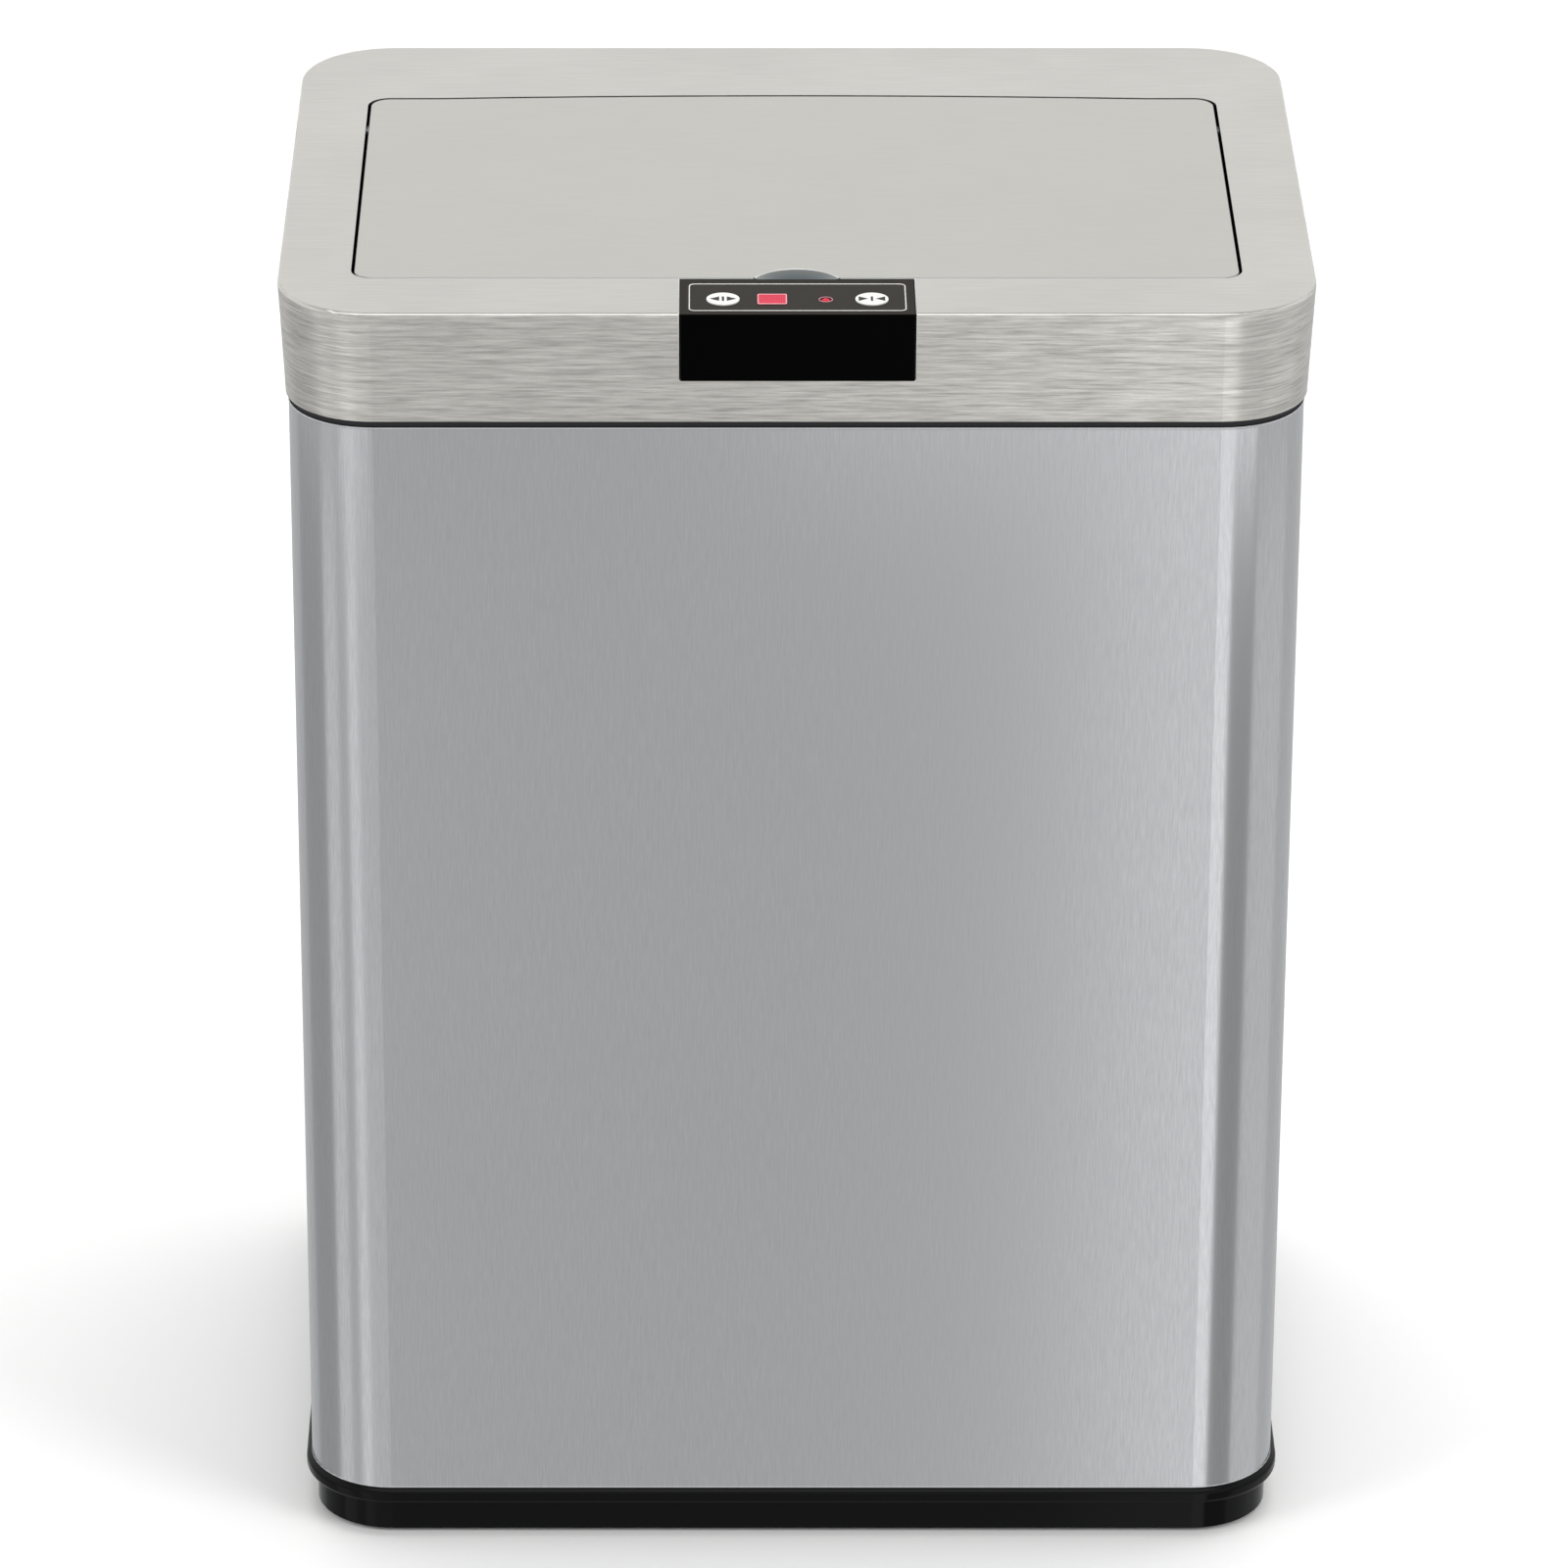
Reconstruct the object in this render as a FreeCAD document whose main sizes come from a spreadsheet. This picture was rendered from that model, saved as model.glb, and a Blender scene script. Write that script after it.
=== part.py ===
import FreeCAD, Part
import Sketcher
import math
import os
from types import SimpleNamespace

# A free-standing rectangular bin with a powered lid.  A steel shell stands on a moulded base; a head
# with the sensor, the drive and the batteries lifts off it; the lid swings open in the head.
# Frame: origin on the floor under the middle of the bin, +Z up, the sensor side faces -Y.

SIZES = {
    # overall
    "rim_width": 410, "rim_depth": 304, "total_height": 550, "rim_corner": 38,
    # head cover, pressed from one sheet, leaning in towards the bottom
    "head_height": 46.5, "rim_wall": 1.0, "rim_tuck": 2.4, "rim_edge": 1.4, "seam_gap": 3.0,
    # steel shell of the bin
    "rim_overhang": 3.5, "shell_wall": 0.8, "wall_play": 0.2,
    # moulded base and its feet
    "base_rise": 22, "flange_out": 2.3, "flange_height": 6.5, "flange_round": 2.2, "skirt_inset": 2.2,
    "skirt_wall": 2.6, "skirt_lift": 1.8, "floor_thick": 3, "spigot_wall": 2.4, "spigot_height": 30,
    "rib_thick": 2, "rib_lift": 2, "rib_pitch": 58, "foot_radius": 26, "foot_height": 4.5,
    "foot_round": 1.0, "boss_radius": 9, "foot_screw_head": 3.6, "foot_screw_shank": 1.5,
    "foot_screw_reach": 11, "foot_screw_sink": 2.4,
    # collar in the mouth of the shell, and the ring that holds the bag
    "collar_wall": 2.5, "collar_depth": 30, "ledge_width": 5, "ledge_thick": 2.5, "ledge_drop": 20,
    "ring_play": 0.6, "ring_wall": 2.5, "ring_lip": 6.4, "ring_height": 16.5,
    # lid panel and the gaps round it
    "side_border": 30, "front_border": 38, "back_border": 63, "lid_bow": 3.5, "lid_corner": 8,
    "side_gap": 1.2, "back_gap": 1.1, "front_gap": 0.55, "lid_sheet": 1.0, "lid_fold": 3.0,
    "lid_edge": 0.7, "liner_play": 0.3, "liner_wall": 2, "liner_low": 6,
    "thumb_width": 33.6, "thumb_depth": 10, "thumb_ball": 48,
    # lid pivot
    "pivot_setback": 18, "pivot_drop": 8, "lid_swing": 80, "pin_radius": 2.5, "pin_play": 0.05,
    "pin_fix": 0.01, "ear_radius": 4.6, "ear_width": 8, "pin_reach": 3, "pivot_boss": 5,
    # moulded frame in the head
    "frame_play": 0.3, "frame_wall": 2, "throat_play": 2, "throat_behind": 5.5, "throat_ahead": 2.5,
    "throat_corner": 9, "plate_thick": 2, "plate_play": 0.15, "rib_depth": 6, "rib_wall": 2, "body_gap": 0.3,
    # sensor module
    "sensor_half": 46, "sensor_overlap": 1.2, "sensor_proud": 0.8, "sensor_front_height": 28,
    "sensor_gap": 0.35, "sensor_wall": 1.8, "sensor_top": 2.4, "sensor_round": 0.8,
    "shelf_thick": 2.2, "label_side": 2.6, "label_inset": 2.4,
    "label_thick": 0.4, "label_corner": 3, "controls_inset": 15.1, "button_x": 29.2, "button_radius": 6.5,
    "button_play": 0.15, "button_proud": 0.4, "button_travel": 0.5, "button_collar": 7.8,
    "collar_height": 1.2, "stem_radius": 2, "window_x": 9.9, "window_width": 11.3,
    "window_height": 10.2, "led_x": 11.1, "led_radius": 2.5,
    "board_drop": 12.4, "board_thick": 1.6, "switch_size": 6, "switch_height": 3.6,
    # drive train, from the lid's sector to the motor
    "pressure_angle": 25, "sector_module": 1.0, "sector_teeth": 31, "sector_margin": 15, "pinion_teeth": 12,
    "middle_module": 0.8, "middle_teeth": 30, "last_module": 0.7, "last_teeth": 36,
    "tooth_thinning": 0.1, "gear_face": 4, "layer_gap": 0.6, "axle_radius": 1.5, "hub_radius": 4.4,
    "case_wall": 1.5, "motor_radius": 7.7, "motor_length": 25, "motor_shaft": 1.0, "motor_nose": 3,
    # batteries, door, jack and switch at the back
    "cell_radius": 17.1, "cell_length": 61.5, "cell_gap": 0.4, "cell_count": 4,
    "contact_depth": 4.2, "box_clear": 1.3, "box_wall": 1.8, "box_low": 3,
    "door_low": 5.5, "door_high": 41, "door_thick": 2.2, "door_gap": 0.6, "door_pin": 1.2,
    "barrel_radius": 2.6, "arm_width": 2.4, "port_inset": 58, "jack_radius": 5.5, "jack_bore": 2.9,
    "jack_pin": 1.0, "jack_depth": 11, "rocker_half": 6, "rocker_height": 11, "bezel": 1.6,
    # fixing screws, posts and the lid's landing pads
    "fixing_screw": 1.4, "fixing_head": 2.8, "fixing_head_height": 1.8, "fixing_reach": 8,
    "post_radius": 4, "post_inset": 24, "pillar_radius": 3, "landing_x": 120, "landing_width": 20,
    "landing_reach": 8, "landing_thick": 2, "bumper_radius": 3.5, "bumper_height": 1.0,
}

doc = FreeCAD.newDocument("sensor_bin")
sheet = doc.addObject("Spreadsheet::Sheet", "Sizes")
for row, (alias, number) in enumerate(SIZES.items(), 1):
    sheet.set(f"A{row}", alias)
    sheet.set(f"B{row}", str(number))
    sheet.setAlias(f"B{row}", alias)
doc.recompute()


class Size:
    """A length with its value now and the sheet formula that keeps it bound."""

    def __init__(self, value, formula):
        self.value = value
        self.formula = formula

    def __add__(self, other):
        return Size(self.value + worth(other), f"({self.formula} + {text(other)})")

    def __radd__(self, other):
        return Size(worth(other) + self.value, f"({text(other)} + {self.formula})")

    def __sub__(self, other):
        return Size(self.value - worth(other), f"({self.formula} - {text(other)})")

    def __rsub__(self, other):
        return Size(worth(other) - self.value, f"({text(other)} - {self.formula})")

    def __mul__(self, other):
        return Size(self.value * worth(other), f"({self.formula} * {text(other)})")

    def __rmul__(self, other):
        return Size(worth(other) * self.value, f"({text(other)} * {self.formula})")

    def __truediv__(self, other):
        return Size(self.value / worth(other), f"({self.formula} / {text(other)})")

    def __neg__(self):
        return Size(-self.value, f"(0 - {self.formula})")


def worth(amount):
    return amount.value if isinstance(amount, Size) else float(amount)


def text(amount):
    return amount.formula if isinstance(amount, Size) else f"({amount:.6f})"


NONE = Size(0.0, "0")
s = SimpleNamespace(**{alias: Size(float(sheet.get(alias)), f"Sizes.{alias}") for alias in SIZES})
pieces = []


def bind(item, prop, amount):
    """Ties a property to the sheet."""
    item.setExpression(prop, text(amount))


def finished(item, label):
    """Names a sub-part; its label is its file's name."""
    item.Label = label
    pieces.append(item)
    return item


# ---- sketched outlines: each gives a function that draws itself, fully bound, in a sketch ----

def pinned(sketch, edge, end, x, y):
    """Fixes one point of an edge at x, y from the sketch's origin."""
    for kind, amount in (("DistanceX", x), ("DistanceY", y)):
        index = sketch.addConstraint(Sketcher.Constraint(kind, -1, 1, edge, end, worth(amount)))
        bind(sketch, f"Constraints[{index}]", amount)


def circle(x, y, radius):
    def draw(sketch):
        ring = Part.Circle(FreeCAD.Vector(worth(x), worth(y), 0), FreeCAD.Vector(0, 0, 1), worth(radius))
        edge = sketch.addGeometry(ring, False)
        pinned(sketch, edge, 3, x, y)
        index = sketch.addConstraint(Sketcher.Constraint("Radius", edge, worth(radius)))
        bind(sketch, f"Constraints[{index}]", radius)
    return draw


def polygon(*corners):
    def draw(sketch):
        points = [FreeCAD.Vector(worth(x), worth(y), 0) for x, y in corners]
        lines = [Part.LineSegment(a, b) for a, b in zip(points, points[1:] + points[:1])]
        edges = sketch.addGeometry(lines, False)
        for here, after in zip(edges, list(edges[1:]) + [edges[0]]):
            sketch.addConstraint(Sketcher.Constraint("Coincident", here, 2, after, 1))
        for edge, (x, y) in zip(edges, corners):
            pinned(sketch, edge, 1, x, y)
    return draw


def rectangle(left, right, low, high):
    return polygon((left, low), (right, low), (right, high), (left, high))


def rounded(left, right, low, high, corner):
    def draw(sketch):
        west, east, south, north, bend = (worth(a) for a in (left, right, low, high, corner))
        up = FreeCAD.Vector(0, 0, 1)
        centres = [(east - bend, south + bend), (east - bend, north - bend),
                   (west + bend, north - bend), (west + bend, south + bend)]
        ends = [((west + bend, south), (east - bend, south)), ((east, south + bend), (east, north - bend)),
                ((east - bend, north), (west + bend, north)), ((west, north - bend), (west, south + bend))]
        shapes = []
        for turn, (centre, (start, stop)) in enumerate(zip(centres, ends)):
            shapes.append(Part.LineSegment(FreeCAD.Vector(*start, 0), FreeCAD.Vector(*stop, 0)))
            arc = Part.Circle(FreeCAD.Vector(*centre, 0), up, bend)
            begin = (turn - 1) * math.pi / 2
            shapes.append(Part.ArcOfCircle(arc, begin, begin + math.pi / 2))
        edges = sketch.addGeometry(shapes, False)
        for here, after in zip(edges, list(edges[1:]) + [edges[0]]):
            sketch.addConstraint(Sketcher.Constraint("Tangent", here, 2, after, 1))
        for edge, way in zip(edges[::2], ("Horizontal", "Vertical") * 2):
            sketch.addConstraint(Sketcher.Constraint(way, edge))
        for arc in edges[1::2]:
            index = sketch.addConstraint(Sketcher.Constraint("Radius", arc, bend))
            bind(sketch, f"Constraints[{index}]", corner)
        sides = (("DistanceY", low), ("DistanceX", right), ("DistanceY", high), ("DistanceX", left))
        for edge, (kind, amount) in zip(edges[::2], sides):
            index = sketch.addConstraint(Sketcher.Constraint(kind, -1, 1, edge, 1, worth(amount)))
            bind(sketch, f"Constraints[{index}]", amount)
    return draw


def bow(half, chord, height):
    """A flat circular segment: a chord along X, bulging towards +Y by its height."""
    def draw(sketch):
        reach, level, rise = worth(half), worth(chord), worth(height)
        line = Part.LineSegment(FreeCAD.Vector(-reach, level, 0), FreeCAD.Vector(reach, level, 0))
        arc = Part.Arc(FreeCAD.Vector(reach, level, 0), FreeCAD.Vector(0, level + rise, 0),
                       FreeCAD.Vector(-reach, level, 0))
        edges = sketch.addGeometry([line, arc], False)
        pinned(sketch, edges[0], 1, -half, chord)
        pinned(sketch, edges[0], 2, half, chord)
        sketch.addConstraint(Sketcher.Constraint("Coincident", edges[0], 2, edges[1], 1))
        sketch.addConstraint(Sketcher.Constraint("Coincident", edges[0], 1, edges[1], 2))
        radius = (half * half + height * height) / (2 * height)
        index = sketch.addConstraint(Sketcher.Constraint("Radius", edges[1], radius.value))
        bind(sketch, f"Constraints[{index}]", radius)
    return draw


# ---- solid features ----

PLANES = {"XY": ("XY_Plane", 1), "XZ": ("XZ_Plane", -1), "YZ": ("YZ_Plane", 1)}


def new_body(name):
    return doc.addObject("PartDesign::Body", name)


def sketch_on(body, plane, level, outlines):
    """A sketch across one of the body's own planes, shifted to a level along the third axis."""
    role, side = PLANES[plane]
    sketch = body.newObject("Sketcher::SketchObject", f"{body.Name}_sketch")
    support = next(item for item in body.Origin.OriginFeatures if item.Role == role)
    sketch.AttachmentSupport = [(support, "")]
    sketch.MapMode = "FlatFace"
    bind(sketch, ".AttachmentOffset.Base.z", level * side)
    for draw in outlines:
        draw(sketch)
    return sketch


def pad(body, plane, low, high, *outlines):
    """Adds material between two levels."""
    level = high if plane == "XZ" else low
    feature = body.newObject("PartDesign::Pad", f"{body.Name}_pad")
    feature.Profile = sketch_on(body, plane, level, outlines)
    bind(feature, "Length", high - low)
    return feature


def pocket(body, plane, low, high, *outlines):
    """Removes material between two levels, and makes sure that some went."""
    doc.recompute()
    before = body.Shape.Volume
    sketch = sketch_on(body, plane, low, outlines)
    feature = body.newObject("PartDesign::Pocket", f"{body.Name}_pocket")
    feature.Profile = sketch
    feature.Reversed = plane != "XZ"
    bind(feature, "Length", high - low)
    doc.recompute()
    if body.Shape.Volume > before - 0.1:
        raise RuntimeError(f"{feature.Name} cuts nothing")
    return feature


def flat_at(level):
    """Picks the edges that lie flat at one height."""
    height = worth(level)
    return lambda box: abs(box.ZMin - height) < 0.01 and abs(box.ZMax - height) < 0.01


def fillet(body, radius, chosen):
    doc.recompute()
    base = body.Tip
    names = [f"Edge{index}" for index, edge in enumerate(base.Shape.Edges, 1) if chosen(edge.BoundBox)]
    feature = body.newObject("PartDesign::Fillet", f"{body.Name}_fillet")
    feature.Base = (base, names)
    bind(feature, "Radius", radius)
    return feature


# ---- primitives and booleans ----

TURNS = {"Z": FreeCAD.Rotation(), "X": FreeCAD.Rotation(FreeCAD.Vector(0, 1, 0), 90),
         "Y": FreeCAD.Rotation(FreeCAD.Vector(-1, 0, 0), 90),
         "-Z": FreeCAD.Rotation(FreeCAD.Vector(1, 0, 0), 180)}


def place(item, at, along="Z"):
    item.Placement = FreeCAD.Placement(FreeCAD.Vector(), TURNS[along])
    for axis, amount in zip("xyz", at):
        bind(item, f"Placement.Base.{axis}", amount)
    return item


def block(low, high, name="block"):
    item = doc.addObject("Part::Box", name)
    for prop, near, far in zip(("Length", "Width", "Height"), low, high):
        bind(item, prop, far - near)
    return place(item, low)


def rod(radius, length, at, along="Z", name="rod"):
    item = doc.addObject("Part::Cylinder", name)
    bind(item, "Radius", radius)
    bind(item, "Height", length)
    return place(item, at, along)


def ball(radius, at, name="ball"):
    item = doc.addObject("Part::Sphere", name)
    bind(item, "Radius", radius)
    return place(item, at)


def fuse(*items, name="fuse"):
    item = doc.addObject("Part::MultiFuse", name)
    item.Shapes = list(items)
    item.Refine = True
    return item


def cut(base, *tools, name="cut"):
    item = doc.addObject("Part::Cut", name)
    item.Base = base
    item.Tool = tools[0] if len(tools) == 1 else fuse(*tools)
    return item


def common(first, second, name="common"):
    item = doc.addObject("Part::Common", name)
    item.Base = first
    item.Tool = second
    return item


def group(*items, name="group"):
    """Separate solids that share one node."""
    item = doc.addObject("Part::Compound", name)
    item.Links = list(items)
    return item


def screw(at, along, head, head_height, shank, reach):
    """A pan-head screw: its seat at the given point, its shank running along the axis."""
    x, y, z = at
    heads = {"Z": (x, y, z - head_height), "-Z": (x, y, z + head_height), "X": (x - head_height, y, z),
             "Y": (x, y - head_height, z)}
    return fuse(rod(head, head_height, heads[along], along), rod(shank, reach, at, along))


# ---- levels and outlines that several pieces share ----

top = s.total_height
head_low = top - s.head_height
body_top = head_low - s.seam_gap
half_width = s.rim_width / 2
half_depth = s.rim_depth / 2
corner_x = half_width - s.rim_corner
corner_y = half_depth - s.rim_corner
lid_half = half_width - s.side_border
lid_front = half_depth - s.front_border
lid_back = half_depth - s.back_border
throat_half = lid_half + s.throat_play
throat_front = lid_front + s.throat_ahead
throat_back = lid_back + s.throat_behind
pivot_y = lid_back - s.pivot_setback


def around(inset):
    """The bin's rounded outline, moved in from the rim."""
    return rounded(inset - half_width, half_width - inset, inset - half_depth, half_depth - inset,
                   s.rim_corner - inset)


def throat(grow):
    """The opening through the head."""
    half = throat_half + grow
    return rounded(-half, half, -throat_front - grow, throat_back + grow, s.throat_corner + grow)


shell_in = s.rim_overhang + s.shell_wall
collar_out = shell_in + s.wall_play
collar_in = collar_out + s.collar_wall
frame_out = s.rim_wall + s.rim_tuck + s.frame_play
plate_out = s.rim_wall + s.rim_tuck + s.plate_play
plate_top = head_low + s.plate_thick
deck_low = top - s.rim_wall - s.frame_play - s.frame_wall
deck_top = deck_low + s.frame_wall
collar_top = head_low - s.body_gap
pivot_z = top - s.pivot_drop
sensor_back = throat_front - s.sensor_overlap
deep_back = throat_front + s.frame_wall + s.sensor_overlap
controls_y = half_depth - s.controls_inset
cells_half = s.cell_count * s.cell_length / 2
box_half = cells_half + s.contact_depth + s.box_wall
door_half = box_half - s.arm_width - s.door_gap
port_x = half_width - s.port_inset


# ---- the bin ----

def body_shell():
    """Rolled steel sheet with a welded back seam."""
    body = new_body("body_shell")
    pad(body, "XY", s.base_rise, body_top, around(s.rim_overhang), around(shell_in))
    finished(body, "body_shell")


def base_tray():
    """Moulded base: a skirt, a bead that the shell stands on, and a spigot inside the shell."""
    body = new_body("base_tray")
    bead_low = s.base_rise - s.flange_height
    floor_low = bead_low - s.floor_thick
    spigot_in = collar_out + s.spigot_wall
    skirt_out = s.rim_overhang + s.skirt_inset
    pad(body, "XY", s.skirt_lift, bead_low, around(skirt_out))
    pad(body, "XY", bead_low, s.base_rise, around(s.rim_overhang - s.flange_out))
    outermost = half_width.value - s.rim_overhang.value

    def bead_edge(box):
        level = flat_at(s.base_rise)(box) or flat_at(bead_low)(box)
        wide = max(abs(box.XMin), abs(box.XMax), abs(box.YMin) + half_width.value - half_depth.value)
        return level and wide > outermost
    fillet(body, s.flange_round, bead_edge)
    pad(body, "XY", s.base_rise, s.base_rise + s.spigot_height, around(collar_out))
    pocket(body, "XY", bead_low, s.base_rise + s.spigot_height, around(spigot_in))
    pocket(body, "XY", s.skirt_lift, floor_low, around(skirt_out + s.skirt_wall))
    rib_low = s.skirt_lift + s.rib_lift
    half_rib = s.rib_thick / 2
    reach_x = half_width - skirt_out - s.skirt_wall / 2
    reach_y = half_depth - skirt_out - s.skirt_wall / 2
    for step in (-1, 0, 1):
        middle = s.rib_pitch * step
        pad(body, "XY", rib_low, floor_low,
            rectangle(-reach_x, reach_x, middle - half_rib, middle + half_rib))
    for step in (-2, -1, 0, 1, 2):
        middle = s.rib_pitch * step
        pad(body, "XY", rib_low, floor_low,
            rectangle(middle - half_rib, middle + half_rib, -reach_y, reach_y))
    bosses = []
    for x, y in foot_places():
        bosses += [circle(x, y, s.boss_radius), circle(x, y, s.foot_screw_shank)]
    pad(body, "XY", s.foot_height, floor_low, *bosses)
    finished(body, "base_tray")


def foot_places():
    return [(side_x * corner_x, side_y * corner_y) for side_x in (-1, 1) for side_y in (-1, 1)]


def feet():
    """Four round rubber pads under the corners, each held by a sunk screw."""
    pads = []
    screws = []
    for x, y in foot_places():
        disc = rod(s.foot_radius, s.foot_height, (x, y, 0))
        rounded_disc = doc.addObject("Part::Chamfer", "foot_disc")
        rounded_disc.Base = disc
        doc.recompute()
        edges = [index for index, edge in enumerate(disc.Shape.Edges, 1) if flat_at(0)(edge.BoundBox)]
        rounded_disc.Edges = [(index, s.foot_round.value, s.foot_round.value) for index in edges]
        bore = rod(s.foot_screw_shank, s.foot_height, (x, y, 0))
        sink = rod(s.foot_screw_head + s.wall_play, s.foot_screw_sink, (x, y, 0))
        pads.append(cut(rounded_disc, bore, sink))
        screws.append(screw((x, y, s.foot_screw_sink), "Z", s.foot_screw_head, s.fixing_head_height,
                            s.foot_screw_shank, s.foot_screw_reach - s.foot_screw_sink))
    finished(group(*pads, name="rubber_feet"), "rubber_feet")
    finished(group(*screws, name="foot_screws"), "foot_screws")


ledge_top = body_top - s.ledge_drop


def top_collar():
    """Moulded collar in the shell's mouth; its ledge carries the bag ring."""
    body = new_body("top_collar")
    pad(body, "XY", body_top - s.collar_depth, collar_top, around(collar_out), around(collar_in))
    pad(body, "XY", ledge_top - s.ledge_thick, ledge_top,
        around(collar_out), around(collar_in + s.ledge_width))
    finished(body, "top_collar")


def bag_ring():
    """Ring with an inward lip that pinches the bag's edge against the collar."""
    body = new_body("bag_ring")
    outer = collar_in + s.ring_play
    ring_top = ledge_top + s.ring_height
    pad(body, "XY", ledge_top, ring_top, around(outer), around(outer + s.ring_wall))
    pad(body, "XY", ring_top - s.ring_wall, ring_top, around(outer), around(outer + s.ring_lip))
    finished(body, "bag_ring")


# ---- the head ----

def lid_opening(body, low, high):
    """Cuts the lid's opening, whose back edge bows out."""
    half = lid_half + s.side_gap
    back = lid_back + s.back_gap
    corner = s.lid_corner + s.side_gap
    pocket(body, "XY", low, high, rounded(-half, half, -lid_front - s.front_gap, back, corner))
    pocket(body, "XY", low, high,
           bow(lid_half - s.lid_corner, back - s.lid_sheet, s.lid_bow + s.lid_sheet))


door_low_z = head_low + s.door_low
door_high_z = head_low + s.door_high


def head_cover():
    """Pressed steel rim: top sheet with the lid's opening, and walls that lean in below."""
    body = new_body("head_cover")
    draft = Size(-math.degrees(math.atan(s.rim_tuck.value / s.head_height.value)),
                 f"-1 * atan({s.rim_tuck.formula} / {s.head_height.formula})")
    outside = body.newObject("PartDesign::Pad", "cover_outside")
    outside.Profile = sketch_on(body, "XY", top, [around(NONE)])
    outside.Reversed = True
    bind(outside, "Length", s.head_height)
    bind(outside, "TaperAngle", draft)
    fillet(body, s.rim_edge, flat_at(top))
    doc.recompute()
    inside = body.newObject("PartDesign::Pocket", "cover_inside")
    inside.Profile = sketch_on(body, "XY", top - s.rim_wall, [around(s.rim_wall)])
    bind(inside, "Length", s.head_height)
    bind(inside, "TaperAngle", draft)
    doc.recompute()
    lid_opening(body, top - 2 * s.rim_wall, top + s.rim_wall)
    half = s.sensor_half + s.sensor_gap
    pocket(body, "XY", top - s.sensor_front_height - s.sensor_gap, top + s.rim_wall,
           rectangle(-half, half, -half_depth - s.rim_wall, -lid_front))
    behind = half_depth - s.rim_tuck - 2 * s.rim_wall
    half = box_half + s.door_gap
    pocket(body, "XZ", behind, half_depth + s.rim_wall,
           rectangle(-half, half, door_low_z - s.door_gap, door_high_z + s.door_gap))
    pocket(body, "XZ", behind, half_depth + s.rim_wall,
           circle(port_x, port_z(), s.jack_radius + s.wall_play), switch_hole(s.wall_play))
    finished(body, "head_cover")


def port_z():
    """Height of the jack and the switch."""
    return head_low + s.head_height / 2


def switch_hole(grow):
    half = s.rocker_half + s.bezel + grow
    height = s.rocker_height / 2 + s.bezel + grow
    return rectangle(-port_x - half, half - port_x, port_z() - height, port_z() + height)


case_in = throat_half + s.frame_wall
sector_near = case_in + s.frame_wall + s.body_gap
layer = [sector_near + step * (s.gear_face + s.layer_gap) for step in range(4)]
gear_one_z = pivot_z - s.sector_module * (s.sector_teeth + s.pinion_teeth) / 2
gear_two_y = pivot_y + s.middle_module * (s.middle_teeth + s.pinion_teeth) / 2
motor_y = gear_two_y + s.last_module * (s.last_teeth + s.pinion_teeth) / 2
axles = ((pivot_y, gear_one_z), (gear_two_y, gear_one_z))


landing_top = top - s.liner_low - s.bumper_height - s.body_gap


def post_places():
    """Middles of the four posts that the base plate is screwed to."""
    x = half_width - s.post_inset
    y = half_depth - s.post_inset
    return [(side_x * x, side_y * y) for side_x in (-1, 1) for side_y in (-1, 1)]


def shelf_screw_holes():
    radius = s.fixing_screw + s.pin_fix
    return [circle(side * s.sensor_half / 2, -controls_y, radius) for side in (-1, 1)]


def head_frame():
    """Moulded frame: outer wall, deck under the cover, throat wall, sensor shelf and pivot bosses."""
    body = new_body("frame_body")
    pad(body, "XY", plate_top, deck_top, around(frame_out))
    pocket(body, "XY", plate_top, deck_low, around(frame_out + s.frame_wall), throat(s.frame_wall))
    pocket(body, "XY", plate_top, deck_top, throat(NONE))
    half = s.sensor_half + s.sensor_gap
    floor = top - s.sensor_front_height - s.sensor_gap
    pocket(body, "XY", floor, deck_top, rectangle(-half, half, -half_depth, -deep_back + s.sensor_gap))
    pocket(body, "XY", top - s.sensor_top - s.sensor_gap, deck_top,
           rectangle(-half, half, -deep_back, -throat_front + s.frame_wall))
    shelf_half = half + s.frame_wall
    shelf_front = frame_out - half_depth + s.frame_wall / 2
    pad(body, "XY", floor - s.shelf_thick, floor,
        rectangle(-shelf_half, shelf_half, shelf_front, -throat_front - s.frame_wall / 2))
    pad(body, "XY", plate_top, deck_low, *[circle(x, y, s.post_radius) for x, y in post_places()])
    pocket(body, "XY", plate_top, plate_top + s.fixing_reach,
           *[circle(x, y, s.fixing_screw + s.pin_fix) for x, y in post_places()])
    pocket(body, "XY", floor - s.shelf_thick, floor, *shelf_screw_holes())
    for side in (-1, 1):
        middle = side * s.landing_x
        pad(body, "XY", landing_top - s.landing_thick, landing_top,
            rectangle(middle - s.landing_width / 2, middle + s.landing_width / 2,
                      -throat_front - s.frame_wall / 2, s.landing_reach - throat_front))
        inner = throat_half + s.frame_wall / 2
        outer = case_in + s.frame_wall
        low, high = (inner, outer) if side > 0 else (-outer, -inner)
        pad(body, "YZ", low, high, circle(pivot_y, pivot_z, s.pivot_boss))
    pocket(body, "YZ", -case_in - 2 * s.frame_wall, case_in + 2 * s.frame_wall,
           circle(pivot_y, pivot_z, s.pin_radius + s.pin_play))
    behind = half_depth - frame_out - 2 * s.frame_wall
    half = box_half + s.door_gap
    pocket(body, "XZ", behind, half_depth,
           rectangle(-half, half, door_low_z - s.door_gap, door_high_z + s.door_gap))
    pocket(body, "XZ", behind, half_depth,
           circle(port_x, port_z(), s.jack_radius + s.wall_play), switch_hole(s.wall_play))
    motor_room = rod(s.motor_radius + s.body_gap, half_width - throat_half,
                     (throat_half - s.motor_length, motor_y, gear_one_z), "X")
    finished(cut(body, motor_room, name="head_frame"), "head_frame")


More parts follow.
